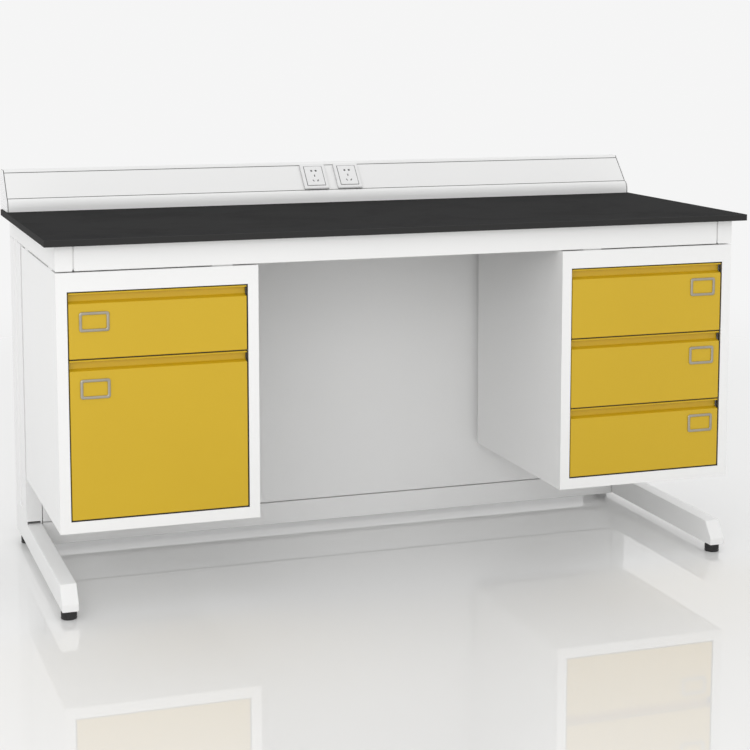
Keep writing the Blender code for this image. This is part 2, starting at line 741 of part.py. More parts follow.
def make_channel(name, x_web, x_open, height, middle_z, material, into=None):
    """A slide member: a U channel along Y with its web at x_web."""
    x_low, x_high = min(x_web, x_open), max(x_web, x_open)
    low = (x_low, BOX_Y, middle_z - height / 2)
    high = (x_high, BOX_BACK, middle_z + height / 2)
    member = box(name, low, high, material, into)
    opens = 1 if x_open > x_web else -1
    web = x_web + opens * SLIDE_SHEET
    past = x_open + opens * SLIDE_SHEET
    cut_box(
        member,
        "channel",
        (min(web, past), BOX_Y - SLIDE_SHEET, low[2] + SLIDE_SHEET),
        (max(web, past), BOX_BACK + SLIDE_SHEET, high[2] - SLIDE_SHEET),
    )
    return member


def make_slides(label, box_part, x_from, x_to, middle_z):
    """The telescopic slides of one drawer. The third member is part of the drawer's box."""
    middle_height = SLIDE_HEIGHT - 2 * (SLIDE_SHEET + SLIDE_RACE)
    drawer_height = middle_height - 2 * (SLIDE_SHEET + SLIDE_RACE)
    middles = []
    for hand, face_x, inward in (
        ("left", x_from + SLIDE_PLANE, 1),
        ("right", x_to - SLIDE_PLANE, -1),
    ):
        section = slide_section(face_x, inward)
        web, lips = section["fixed"]
        make_channel(f"{label}_{hand}_slide_fixed", web, lips, SLIDE_HEIGHT, middle_z, ZINC_STEEL)
        web, lips = section["middle"]
        middles.append(
            make_channel(f"{label}_{hand}_slide_middle", web, lips, middle_height, middle_z, ZINC_STEEL)
        )
        lips, web = section["drawer"]
        carried = make_channel(
            f"{label}_{hand}_slide_drawer",
            web + inward * BOX_SHEET / 2,
            lips,
            drawer_height,
            middle_z,
            None,
            CUTTERS,
        )
        carve(box_part, carried, "UNION")
    hang_on(guide(f"{label}_slide_travel", (0.0, BOX_Y, middle_z)), *middles)


def plate(name, low, high, corner, material, into=None):
    """A flat plate that faces along Y, with its four corners rounded."""
    shape, middle = block(low, high)
    depth = high[1] - low[1]
    corners = [e for e in shape.edges if abs(e.verts[0].co.y - e.verts[1].co.y) > depth / 2]
    bmesh.ops.bevel(shape, geom=corners, offset=corner, segments=4, affect="EDGES", profile=0.5)
    return add_mesh(name, shape, material, middle, into)


def make_holder(name, middle_x, middle_z):
    """A plated card holder: a rounded rim with a channel behind it that the card slides into."""
    face_y = DRAWER_Y - TOUCH_GAP
    holder = plate(
        name,
        (middle_x - HOLDER_WIDTH / 2, face_y - HOLDER_THICKNESS, middle_z - HOLDER_HEIGHT / 2),
        (middle_x + HOLDER_WIDTH / 2, face_y, middle_z + HOLDER_HEIGHT / 2),
        HOLDER_CORNER,
        NICKEL,
    )
    half_x, half_z = HOLDER_WIDTH / 2 - HOLDER_RIM, HOLDER_HEIGHT / 2 - HOLDER_RIM
    window = plate(
        f"{name}_window",
        (middle_x - half_x, face_y - 2 * HOLDER_THICKNESS, middle_z - half_z),
        (middle_x + half_x, face_y + HOLDER_THICKNESS, middle_z + half_z),
        HOLDER_WINDOW_CORNER,
        None,
        CUTTERS,
    )
    carve(holder, window)
    reach = HOLDER_CHANNEL_REACH
    cut_box(
        holder,
        "channel",
        (middle_x - half_x - reach, face_y - HOLDER_CHANNEL, middle_z - half_z - reach),
        (middle_x + half_x + reach, face_y + HOLDER_CHANNEL, middle_z + half_z + reach),
    )
    return holder


def make_drawer(side, label, z_from, z_to):
    """One drawer: front, box with its slide members, and card holder, on one empty."""
    x_from, x_to = pedestal_span(side)
    gap = STILE_WIDTH + DRAWER_GAP
    front = make_front(f"{label}_front", x_from + gap, x_to - gap, z_from, z_to)
    box_inset = SLIDE_PLANE + SLIDE_WIDTH
    box_bottom = z_from + BOX_ABOVE_FRONT_BOTTOM
    box_part = tray(
        f"{label}_box",
        (x_from + box_inset, BOX_Y, box_bottom),
        (x_to - box_inset, BOX_BACK, z_to - BOX_BELOW_FRONT_TOP),
        (0, 0, 1),
        BOX_SHEET,
        GREY_STEEL,
    )
    middle_z = box_bottom + SLIDE_ABOVE_BOX
    make_slides(label, box_part, x_from, x_to, middle_z)
    if side < 0:
        holder_x = x_from + gap + LEFT_HOLDER_FROM_SIDE + HOLDER_WIDTH / 2
        holder_z = z_to - LEFT_HOLDER_FROM_TOP - HOLDER_HEIGHT / 2
    else:
        holder_x = x_to - gap - RIGHT_HOLDER_FROM_SIDE - HOLDER_WIDTH / 2
        holder_z = z_to - RIGHT_HOLDER_FROM_TOP - HOLDER_HEIGHT / 2
    holder = make_holder(f"{label}_card_holder", holder_x, holder_z)
    travel = guide(f"{label}_travel", ((x_from + x_to) / 2, DRAWER_Y, z_from))
    hang_on(travel, front, box_part, holder)


def drawer_rows(side):
    """The lowest and highest z of each front on one side, from the top down."""
    top, bottom = OPENING_TOP - DRAWER_GAP, OPENING_BOTTOM + DRAWER_GAP
    if side < 0:
        middle = top - LEFT_TOP_FRONT_HEIGHT
        return [(middle, top), (bottom, middle - DRAWER_GAP)]
    pitch = (top - bottom + DRAWER_GAP) / RIGHT_DRAWERS
    return [(top - row * pitch - pitch + DRAWER_GAP, top - row * pitch) for row in range(RIGHT_DRAWERS)]


# ---------------------------------------------------------------- socket trunking
def trunk_outline():
    """The trunking's section from its front foot, over the slope, to its back: (y, z) points."""
    y0, z0 = TRUNK_Y, TRUNK_Z
    points = [(y0, z0)]
    for step in range(TRUNK_SHOULDER_STEPS + 1):
        turn = math.pi / 2 * step / TRUNK_SHOULDER_STEPS
        run = TRUNK_SHOULDER_RUN * (1 - math.cos(turn))
        rise = TRUNK_SHOULDER_RISE * math.sin(turn)
        points.append((y0 + run, z0 + TRUNK_SKIRT_HEIGHT + rise))
    y, z = points[-1]
    points.append((y + SLOPE_RUN, z + SLOPE_RISE))
    y, z = points[-1]
    points.append((y + TRUNK_RIDGE_RUN, z + TRUNK_RIDGE_RISE))
    y, z = points[-1]
    points.append((y + TRUNK_TOP_RUN, z))
    points.append((y + TRUNK_TOP_RUN, z0))
    return points


def inset_outline(points, offset):
    """Moves each side of a closed clockwise outline inwards and joins the sides up again."""
    count = len(points)
    moved = []
    for index in range(count):
        before, here, after = (Vector(points[(index + step) % count]) for step in (-1, 0, 1))
        first, second = (here - before).normalized(), (after - here).normalized()
        normals = [Vector((way.y, -way.x)) for way in (first, second)]
        bisector = (normals[0] + normals[1]).normalized()
        moved.append(tuple(here + bisector * offset / bisector.dot(normals[0])))
    return moved


def slope_frame():
    """The lower edge of the sloped face, its direction up the slope and its outward normal."""
    lower = trunk_outline()[1 + TRUNK_SHOULDER_STEPS]
    up = Vector((0.0, SLOPE_RUN, SLOPE_RISE)).normalized()
    return Vector((0.0, lower[0], lower[1])), up, Vector((0.0, -up.z, up.y))


def on_slope(x, along, out):
    """A point at x, so far up the slope and so far out of it."""
    foot, up, normal = slope_frame()
    place = foot + up * along + normal * out
    return Vector((x, place.y, place.z))


def slope_turn():
    """The rotation that lays a piece modelled flat in XY on the slope."""
    _, up, normal = slope_frame()
    return Matrix((Vector((1, 0, 0)), up, normal)).transposed().to_4x4()


def slope_block(name, x_from, x_to, along_from, along_to, out_from, out_to, material, into=None):
    """A box that lies on the slope."""
    shape, middle = block((x_from, along_from, out_from), (x_to, along_to, out_to))
    made = add_mesh(name, shape, material, (0, 0, 0), into)
    made.matrix_world = Matrix.Translation(on_slope(middle.x, middle.y, middle.z)) @ slope_turn()
    return made


def make_trunk_housing():
    """The long casing: base, skirt, ridge, top and a back wall that hangs behind the worktop."""
    shape = prism(trunk_outline(), -TRUNK_INNER_X, TRUNK_INNER_X)
    housing = add_mesh("trunking_housing", shape, WHITE_STEEL)
    cavity = add_mesh(
        "trunking_housing_cavity",
        prism(inset_outline(trunk_outline(), TRUNK_SHEET), -TRUNK_X, TRUNK_X),
        None,
        into=CUTTERS,
    )
    carve(housing, cavity)
    seat = slope_block(
        "trunking_housing_window", -TRUNK_X, TRUNK_X, 0.0, SLOPE_LENGTH,
        -TRUNK_SHEET - CUT_SPARE, CUT_SPARE, None, CUTTERS,
    )
    carve(housing, seat)
    back = trunk_outline()[-2][0]
    join_box(
        housing,
        "tail",
        (-TRUNK_INNER_X, back - TRUNK_SHEET, DESK_HEIGHT - TRUNK_TAIL),
        (TRUNK_INNER_X, back, TRUNK_Z + TRUNK_SHEET),
    )
    for number in (-1, 0, 1):
        middle = number * CABLE_CUT_PITCH
        cut_box(
            housing,
            f"cable_cut_{number + 1}",
            (middle - CABLE_CUT_LENGTH / 2, WORKTOP_BACK + CABLE_CUT_FROM_WORKTOP, TRUNK_Z - CUT_SPARE),
            (middle + CABLE_CUT_LENGTH / 2, back - TRUNK_SHEET - CABLE_CUT_FROM_WALL,
             TRUNK_Z + TRUNK_SHEET + CUT_SPARE),
        )


def make_trunk_cover():
    """The sloped cover between the seams, with ledges behind it and a cut-out for each socket."""
    cover = slope_block(
        "trunking_cover", -TRUNK_INNER_X, TRUNK_INNER_X, TRUNK_SEAM, SLOPE_LENGTH - TRUNK_SEAM,
        -TRUNK_SHEET, 0.0, WHITE_STEEL,
    )
    ledge_x = TRUNK_INNER_X - COVER_LEDGE_INSET
    for number, start in enumerate((COVER_LEDGE_INSET, SLOPE_LENGTH - COVER_LEDGE_INSET - TRUNK_SHEET)):
        ledge = slope_block(
            f"trunking_cover_ledge_{number}", -ledge_x, ledge_x, start, start + TRUNK_SHEET,
            -TRUNK_SHEET - COVER_LEDGE_DEPTH, -TRUNK_SHEET / 2, None, CUTTERS,
        )
        carve(cover, ledge, "UNION")
    inset = SOCKET_BODY_MARGIN - SOCKET_WINDOW_CLEARANCE
    for number, middle in enumerate(socket_middles()):
        window = slope_block(
            f"trunking_cover_window_{number}",
            middle - SOCKET_WIDTH / 2 + inset, middle + SOCKET_WIDTH / 2 - inset,
            SOCKET_MARGIN + inset, SOCKET_MARGIN + SOCKET_HEIGHT - inset,
            -TRUNK_SHEET - COVER_LEDGE_DEPTH - CUT_SPARE, CUT_SPARE, None, CUTTERS,
        )
        carve(cover, window)


def make_end_cap(side, label):
    """A moulded cap that closes one end of the trunking and hooks behind the worktop."""
    start, end = side * (TRUNK_X - TRUNK_CAP), side * TRUNK_X
    outside = prism(trunk_outline(), min(start, end), max(start, end))
    cap = add_mesh(f"{label}_end_cap", outside, WHITE_PLASTIC)
    inside = inset_outline(trunk_outline(), END_CAP_PLUG_INSET)
    plug = add_mesh(
        f"{label}_end_cap_plug",
        prism(inside, start - side * END_CAP_PLUG_DEPTH, start + side * TRUNK_CAP / 2),
        None,
        into=CUTTERS,
    )
    carve(cap, plug, "UNION")


def socket_middles():
    """The x of each socket's middle."""
    return (-SOCKET_PITCH / 2, SOCKET_PITCH / 2)


def make_socket(label, middle):
    """A five-hole socket: a raised plate, a panel with the pin holes, and the body behind it."""
    low, high = SOCKET_MARGIN, SOCKET_MARGIN + SOCKET_HEIGHT
    left, right = middle - SOCKET_WIDTH / 2, middle + SOCKET_WIDTH / 2
    plate = slope_block(f"{label}_socket", left, right, low, high, TOUCH_GAP, SOCKET_RISE, WHITE_PLASTIC)
    round_edges(plate, SOCKET_EDGE)
    margin = SOCKET_PANEL_MARGIN
    panel = slope_block(
        f"{label}_socket_panel", left + margin, right - margin, low + margin, high - margin,
        SOCKET_RISE / 2, SOCKET_RISE + SOCKET_PANEL_STEP, None, CUTTERS,
    )
    carve(plate, panel, "UNION")
    margin = SOCKET_BODY_MARGIN
    body = slope_block(
        f"{label}_socket_body", left + margin, right - margin, low + margin, high - margin,
        -SOCKET_BODY_DEPTH, SOCKET_RISE / 2, None, CUTTERS,
    )
    carve(plate, body, "UNION")
    centre = (low + high) / 2
    drill_socket(plate, label, middle, centre)


def drill_socket(plate, label, middle, centre):
    """Two round holes above, and three flat ones below them: one upright and two slanted."""
    top = SOCKET_RISE + SOCKET_PANEL_STEP
    upper, lower = centre + PIN_ROW_SHIFT, centre - PIN_ROW_SHIFT
    for hand in (-1, 1):
        pin = disc(
            f"{label}_round_{'left' if hand < 0 else 'right'}", ROUND_PIN_RADIUS,
            SOCKET_PIN_DEPTH + 2 * top, (0, 0, 0), None, CUTTERS, segments=ROUND_PIN_SEGMENTS,
        )
        place = on_slope(middle + hand * ROUND_PIN_SPACING / 2, upper, -SOCKET_PIN_DEPTH)
        pin.matrix_world = Matrix.Translation(place) @ slope_turn()
        carve(plate, pin)
    slots = ((0.0, centre, 0.0), (-FLAT_PIN_SPACING / 2, lower, FLAT_PIN_TILT),
             (FLAT_PIN_SPACING / 2, lower, -FLAT_PIN_TILT))
    for number, (shift, along, tilt) in enumerate(slots):
        slot = box(
            f"{label}_flat_{number}",
            (-FLAT_PIN_WIDTH / 2, -FLAT_PIN_LENGTH / 2, -SOCKET_PIN_DEPTH),
            (FLAT_PIN_WIDTH / 2, FLAT_PIN_LENGTH / 2, top),
            None,
            CUTTERS,
        )
        place = on_slope(middle + shift, along, (top - SOCKET_PIN_DEPTH) / 2 + TOUCH_GAP)
        slot.matrix_world = Matrix.Translation(place) @ slope_turn() @ Matrix.Rotation(tilt, 4, "Z")
        carve(plate, slot)


# ---------------------------------------------------------------- assembly
make_worktop()
for hand, hand_label in ((-1, "left"), (1, "right")):
    make_foot(hand, hand_label)
    make_column(hand, hand_label)
    make_arm(hand, hand_label)
    for foot_end, foot_place in leveller_places(hand):
        make_leveller(hand_label, foot_end, foot_place)
    make_pedestal(hand, hand_label)
    for row, (row_bottom, row_top) in enumerate(drawer_rows(hand), start=1):
        make_drawer(hand, f"{hand_label}_drawer_{row}", row_bottom, row_top)
    make_end_cap(hand, hand_label)
make_rails()
make_panels()
make_trunk_housing()
make_trunk_cover()
for socket_label, socket_x in zip(("left", "right"), socket_middles()):
    make_socket(socket_label, socket_x)
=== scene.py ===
# %% [markdown]
# # A teacher's demonstration desk
#
# The desk stands on two cantilever steel frames. A black resin top lies on them, two drawer
# pedestals hang under it, and a sloped trunking with sockets runs along its back edge.
#
# The engineering model gives every part its exact place. This script keeps those places and
# makes what an engineering model leaves out: rounded edges, fixings, threads and finishes.

# %% Load the engineering model
import json
import math

import bmesh
import bpy
from mathutils import Matrix, Vector

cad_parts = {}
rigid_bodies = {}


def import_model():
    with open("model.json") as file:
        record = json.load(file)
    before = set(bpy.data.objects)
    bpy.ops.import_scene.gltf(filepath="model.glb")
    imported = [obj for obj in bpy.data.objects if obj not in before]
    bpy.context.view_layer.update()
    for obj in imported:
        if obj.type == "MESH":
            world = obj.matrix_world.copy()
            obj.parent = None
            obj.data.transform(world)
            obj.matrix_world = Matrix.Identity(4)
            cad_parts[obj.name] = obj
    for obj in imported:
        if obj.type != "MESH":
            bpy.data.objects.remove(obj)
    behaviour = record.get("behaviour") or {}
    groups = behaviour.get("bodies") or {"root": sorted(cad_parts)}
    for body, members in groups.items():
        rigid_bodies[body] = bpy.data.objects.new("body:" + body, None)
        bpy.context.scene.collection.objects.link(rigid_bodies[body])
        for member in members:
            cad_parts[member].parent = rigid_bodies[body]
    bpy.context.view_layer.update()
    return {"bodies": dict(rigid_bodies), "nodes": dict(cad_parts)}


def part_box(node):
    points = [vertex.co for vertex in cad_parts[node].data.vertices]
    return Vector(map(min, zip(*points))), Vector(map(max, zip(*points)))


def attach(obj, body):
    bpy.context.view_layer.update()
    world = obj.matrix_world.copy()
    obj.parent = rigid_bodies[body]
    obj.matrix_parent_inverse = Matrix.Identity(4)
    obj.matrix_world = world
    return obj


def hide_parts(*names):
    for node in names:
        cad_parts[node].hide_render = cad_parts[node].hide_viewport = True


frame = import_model()


def place(name, data):
    """A new object in the scene."""
    made = bpy.data.objects.new(name, data)
    bpy.context.scene.collection.objects.link(made)
    return made


# %% [markdown]
# ## Camera
#
# A desk is usually shown a little from above and from one side, with a long lens, so that its
# upright edges stay nearly upright. A vertical shift does the rest: the camera tilts down
# less than the picture seems to, as an architect's camera would.

# %% Camera
CAMERA_PLACE = Vector((-1.491, -4.417, 1.367))
CAMERA_TURN = math.radians(18.94)
CAMERA_TILT = math.radians(6.89)
CAMERA_LENS = 85.8
CAMERA_SHIFT = -0.17

camera_data = bpy.data.cameras.new("camera")
camera_data.lens = CAMERA_LENS
camera_data.shift_y = CAMERA_SHIFT
camera = place("camera", camera_data)
camera.location = CAMERA_PLACE
camera.rotation_euler = (math.pi / 2 - CAMERA_TILT, 0.0, -CAMERA_TURN)
bpy.context.scene.camera = camera
bpy.context.scene.view_settings.view_transform = "Standard"
print("camera", [round(v, 3) for v in camera.location], "lens", CAMERA_LENS)

# %% [markdown]
# ## Node helpers
#
# Node trees are long when they are written socket by socket. These helpers keep them readable.
# One adds a node and fills or links its inputs by name, and another starts a group with named
# sockets. The rest stand for a few nodes that come again and again.

# %% Node helpers
def add(tree, kind, inputs=None, **settings):
    """Adds a node, sets its options, and fills each named input with a value or a link."""
    node = tree.nodes.new(kind)
    for name, value in settings.items():
        setattr(node, name, value)
    for name, value in (inputs or {}).items():
        if isinstance(value, bpy.types.NodeSocket):
            tree.links.new(value, node.inputs[name])
        else:
            node.inputs[name].default_value = value
    return node


def node_group(kind, name, inputs, outputs):
    """A new group, what it is given and its results. Inputs are name, kind and usual value."""
    tree = bpy.data.node_groups.new(name, kind)
    for label, what, usual in inputs:
        made = tree.interface.new_socket(label, in_out="INPUT", socket_type=f"NodeSocket{what}")
        if usual is not None:
            made.default_value = usual
    for label, what in outputs:
        tree.interface.new_socket(label, in_out="OUTPUT", socket_type=f"NodeSocket{what}")
    return tree, tree.nodes.new("NodeGroupInput").outputs, tree.nodes.new("NodeGroupOutput").inputs


def calculate(tree, operation, first, second):
    """The result socket of a Math node."""
    return add(tree, "ShaderNodeMath", {0: first, 1: second}, operation=operation).outputs[0]


def share(tree, value, part):
    """A part of a value."""
    return calculate(tree, "MULTIPLY", value, part)


def spread(tree, value, low, high, to_low=0.0, to_high=1.0):
    """Maps a value's range to another range, smoothly and clamped."""
    limits = {"From Min": low, "From Max": high, "To Min": to_low, "To Max": to_high}
    node = add(tree, "ShaderNodeMapRange", {"Value": value, **limits},
               interpolation_type="SMOOTHSTEP")
    return node.outputs["Result"]


def noise(tree, where, size, detail, roughness, distortion=0.0):
    """Noise whose patches have a given size in metres."""
    scale = calculate(tree, "DIVIDE", 1.0, size)
    return add(tree, "ShaderNodeTexNoise",
               {"Vector": where, "Scale": scale, "Detail": detail, "Roughness": roughness,
                "Distortion": distortion}).outputs["Fac"]


def blend_colours(tree, mask, first, second):
    """The colour between two colours that a mask chooses."""
    node = add(tree, "ShaderNodeMix", data_type="RGBA")
    sockets = {socket.identifier: socket for socket in node.inputs}
    tree.links.new(mask, sockets["Factor_Float"])
    for name, value in (("A_Color", first), ("B_Color", second)):
        if isinstance(value, bpy.types.NodeSocket):
            tree.links.new(value, sockets[name])
        else:
            sockets[name].default_value = (*value, 1.0)
    return next(socket for socket in node.outputs if socket.identifier == "Result_Color")


print("helpers ready")

# %% [markdown]
# ## Shared effects
#
# Four effects turn up in nearly every finish. **Coat grain** is the faint orange peel that a
# sprayed and baked coat keeps, with a slow change of tone under it. **Rolled grain** is the fine
# streaking of drawn metal. **Handling** is where hands have polished or dulled a surface.
# **Edge rub** lightens the rounded edges, where any coat is thinnest: it reads a face attribute
# that the mesh code leaves on every rounded edge.

# %% Shared effects
def shader_group(name, inputs, outputs):
    """A shader group that takes a place and numbers, and gives numbers."""
    return node_group("ShaderNodeTree", name, [("Vector", "Vector", None), *inputs],
                      [(label, "Float") for label in outputs])


def build_coat_grain():
    """Orange peel height, and a slow tone, for sprayed coats and moulded plastic."""
    tree, given, result = shader_group(
        "coat_grain", [("Size", "Float", 0.0025), ("Tone Size", "Float", 0.25)], ["Height", "Tone"])
    cloud = noise(tree, given["Vector"], given["Tone Size"], 3.0, 0.55)
    tree.links.new(noise(tree, given["Vector"], given["Size"], 2.0, 0.45), result["Height"])
    tree.links.new(spread(tree, cloud, 0.30, 0.70), result["Tone"])
    return tree


def build_rolled_grain():
    """Streaks along one axis, for rolled, drawn and plated metal."""
    tree, given, result = shader_group(
        "rolled_grain", [("Stretch", "Vector", (1.0, 0.02, 1.0)), ("Size", "Float", 0.0008)],
        ["Streaks"])
    stretched = add(tree, "ShaderNodeVectorMath", {0: given["Vector"], 1: given["Stretch"]},
                    operation="MULTIPLY")
    tree.links.new(noise(tree, stretched.outputs[0], given["Size"], 4.0, 0.6), result["Streaks"])
    return tree


def build_handling():
    """Soft patches, as a mask from 0 to 1."""
    tree, given, result = shader_group("handling", [("Patch Size", "Float", 0.12)], ["Patches"])
    patches = noise(tree, given["Vector"], given["Patch Size"], 5.0, 0.62, distortion=0.6)
    tree.links.new(spread(tree, patches, 0.42, 0.72), result["Patches"])
    return tree


def build_edge_rub():
    """A broken mask along the rounded edges, for a thinner and smoother coat."""
    tree, given, result = shader_group(
        "edge_rub",
        [("Edge", "Float", 0.0), ("Patch Size", "Float", 0.02), ("Cover", "Float", 0.6)], ["Mask"])
    broken = noise(tree, given["Vector"], given["Patch Size"], 4.0, 0.6)
    bare = calculate(tree, "SUBTRACT", 1.0, given["Cover"])
    above = calculate(tree, "SUBTRACT", broken, bare)
    tree.links.new(share(tree, spread(tree, above, -0.12, 0.18), given["Edge"]), result["Mask"])
    return tree


COAT_GRAIN = build_coat_grain()
ROLLED_GRAIN = build_rolled_grain()
HANDLING = build_handling()
EDGE_RUB = build_edge_rub()
print("shader groups", [g.name for g in bpy.data.node_groups])

# %% [markdown]
# ## Finishes
#
# Each finish below starts as a Principled BSDF whose constant values sit on its own sockets.
# Only what changes over the surface is linked: colour, roughness and the height of a bump.

# %% Start and end a finish
def start_finish(name, **constants):
    """A material, its tree, its Principled shader and the object coordinates."""
    made = bpy.data.materials.new(name)
    made.use_nodes = True
    tree = made.node_tree
    shader = tree.nodes["Principled BSDF"]
    for socket, value in constants.items():
        shader.inputs[socket.replace("_", " ")].default_value = value
    where = tree.nodes.new("ShaderNodeTexCoord").outputs["Object"]
    return made, tree, shader, where


def use_group(tree, group, where, **inputs):
    """What a shared group gives in a material. Its inputs are filled by name."""
    named = {label.replace("_", " "): value for label, value in inputs.items()}
    return add(tree, "ShaderNodeGroup", {"Vector": where, **named}, node_tree=group).outputs


def rub_mask(tree, where, patch_size, cover):
    """Where rounded edges are rubbed. The mesh marks them with a face attribute."""
    edge = add(tree, "ShaderNodeAttribute", attribute_name="edge", attribute_type="GEOMETRY")
    return use_group(tree, EDGE_RUB, where, Edge=edge.outputs["Fac"], Patch_Size=patch_size,
                     Cover=cover)["Mask"]


def end_finish(tree, shader, colour, roughness, height, depth, strength):
    """Feeds the shader its colour, its roughness and a bump of a given depth."""
    bump = add(tree, "ShaderNodeBump", {"Height": height, "Distance": depth, "Strength": strength})
    tree.links.new(colour, shader.inputs["Base Color"])
    tree.links.new(roughness, shader.inputs["Roughness"])
    tree.links.new(bump.outputs["Normal"], shader.inputs["Normal"])


print("every finish starts from a Principled BSDF")

# %% [markdown]
# ### Sprayed and baked coats
#
# White, yellow and grey parts are powder coated steel. The powder flows out in the oven into a
# skin with a faint orange peel, and pulls away a little from every edge. The three coats differ
# only in colour, gloss and how coarse the peel is, so one function makes them all.

# %% Powder coats
PEEL_DEPTH = 0.00004


def powder_coat(name, colour, deep, edge, gloss, peel):
    """A coat: its colour, the tone it drifts to, its colour on edges, gloss and peel size."""
    made, tree, shader, where = start_finish(name, Specular_IOR_Level=0.45, Coat_Weight=0.10,
                                             Coat_Roughness=0.25)
    grain = use_group(tree, COAT_GRAIN, where, Size=peel, Tone_Size=0.35)
    patches = use_group(tree, HANDLING, where, Patch_Size=0.16)["Patches"]
    rub = rub_mask(tree, where, patch_size=0.03, cover=0.62)
    body = blend_colours(tree, share(tree, grain["Tone"], 0.5), colour, deep)
    skin = blend_colours(tree, share(tree, rub, 0.55), body, edge)
    worn = calculate(tree, "ADD", share(tree, patches, 0.06), gloss)
    rough = calculate(tree, "SUBTRACT", worn, share(tree, rub, 0.08))
    end_finish(tree, shader, skin, rough, grain["Height"], PEEL_DEPTH, strength=0.5)
    return made


WHITE_COAT = powder_coat("white_powder_coat", (0.890, 0.890, 0.885), (0.875, 0.875, 0.870),
                         (0.91, 0.91, 0.91), gloss=0.36, peel=0.0022)
YELLOW_COAT = powder_coat("mustard_powder_coat", (0.630, 0.412, 0.010), (0.610, 0.395, 0.009),
                          (0.720, 0.520, 0.060), gloss=0.38, peel=0.0020)
GREY_COAT = powder_coat("pale_grey_coat", (0.58, 0.585, 0.59), (0.54, 0.545, 0.55),
                        (0.64, 0.64, 0.64), gloss=0.42, peel=0.0018)
print("coats", WHITE_COAT.name, YELLOW_COAT.name, GREY_COAT.name)

# %% [markdown]
# ### The resin worktop
#
# The top is a solid board of paper and phenolic resin, pressed under heat. The press plates
# leave a fine leathery texture on the face. The cut edges show the core: a little lighter, with
# faint layers along the board and marks from the saw.

# %% Resin board, face and edge
RESIN_DEPTH = 0.00003  # of the texture on the face and of the saw marks


def resin_face():
    """The pressed face of the board."""
    made, tree, shader, where = start_finish("resin_board_face", Specular_IOR_Level=0.004)
    hide = add(tree, "ShaderNodeTexVoronoi", {"Vector": where, "Scale": 520.0, "Randomness": 1.0},
               feature="SMOOTH_F1").outputs["Distance"]
    grain = use_group(tree, COAT_GRAIN, where, Size=0.0012, Tone_Size=0.30)
    patches = use_group(tree, HANDLING, where, Patch_Size=0.22)["Patches"]
    rub = rub_mask(tree, where, patch_size=0.02, cover=0.7)
    fleck = spread(tree, grain["Height"], 0.62, 0.78)
    base = blend_colours(tree, grain["Tone"], (0.0290, 0.0290, 0.0293), (0.0300, 0.0300, 0.0302))
    flecked = blend_colours(tree, share(tree, fleck, 0.4), base, (0.045, 0.045, 0.045))
    edged = blend_colours(tree, share(tree, rub, 0.5), flecked, (0.075, 0.075, 0.075))
    rough = calculate(tree, "ADD", share(tree, patches, 0.10), 0.60)
    height = calculate(tree, "ADD", share(tree, hide, 0.7), grain["Height"])
    end_finish(tree, shader, edged, rough, height, RESIN_DEPTH, strength=0.6)
    return made


def resin_edge():
    """The sawn edge of the board, with its layers."""
    made, tree, shader, where = start_finish("resin_board_edge", Specular_IOR_Level=0.006)
    layers = add(tree, "ShaderNodeTexWave", {"Vector": where, "Scale": 260.0, "Distortion": 2.0,
                                             "Detail": 2.0, "Detail Scale": 3.0},
                bands_direction="Z")
    saw = use_group(tree, ROLLED_GRAIN, where, Stretch=(1.0, 1.0, 0.05), Size=0.0009)["Streaks"]
    mixed = blend_colours(tree, share(tree, layers.outputs["Fac"], 0.4), (0.036, 0.036, 0.036),
                          (0.043, 0.042, 0.041))
    sawn = blend_colours(tree, share(tree, saw, 0.3), mixed, (0.052, 0.052, 0.052))
    rough = spread(tree, saw, 0.2, 0.8, 0.48, 0.60)
    end_finish(tree, shader, sawn, rough, saw, RESIN_DEPTH, strength=0.5)
    return made


RESIN_FACE = resin_face()
RESIN_EDGE = resin_edge()
print("resin", RESIN_FACE.name, RESIN_EDGE.name)

# %% [markdown]
# ### Plated metal
#
# The slides are zinc plated and the card holders nickel plated. Both are metals, so their colour
# sits in the reflection. Streaks from rolling lead along the slide; the plating blurs them.

# %% Plated metals
def plated(name, colour, dull, roughness, stretch, streak_depth):
    """A plated metal with grain along one axis."""
    made, tree, shader, where = start_finish(name, Metallic=1.0)
    streaks = use_group(tree, ROLLED_GRAIN, where, Stretch=stretch, Size=0.0007)["Streaks"]
    patches = use_group(tree, HANDLING, where, Patch_Size=0.05)["Patches"]
    rub = rub_mask(tree, where, patch_size=0.01, cover=0.7)
    worn = blend_colours(tree, share(tree, patches, 0.5), colour, dull)
    rubbed = tuple(part * 1.25 for part in colour)
    bright = blend_colours(tree, share(tree, rub, 0.4), worn, rubbed)
    rough = spread(tree, streaks, 0.25, 0.75, roughness - 0.06, roughness + 0.08)
    end_finish(tree, shader, bright, rough, streaks, streak_depth, strength=0.4)
    return made


ZINC = plated("zinc_plate", (0.60, 0.61, 0.62), (0.48, 0.49, 0.50), roughness=0.30,
              stretch=(1.0, 0.02, 1.0), streak_depth=0.00002)
NICKEL = plated("nickel_plate", (0.42, 0.39, 0.32), (0.34, 0.31, 0.25), roughness=0.34,
                stretch=(0.05, 1.0, 1.0), streak_depth=0.00001)
print("metals", ZINC.name, NICKEL.name)

# %% [markdown]
# ### Moulded plastic
#
# The sockets and end caps are moulded in white, the feet and the cable gland in black. A mould
# gives an even, very fine matt texture, so plastic has less peel than a coat and no streaks.

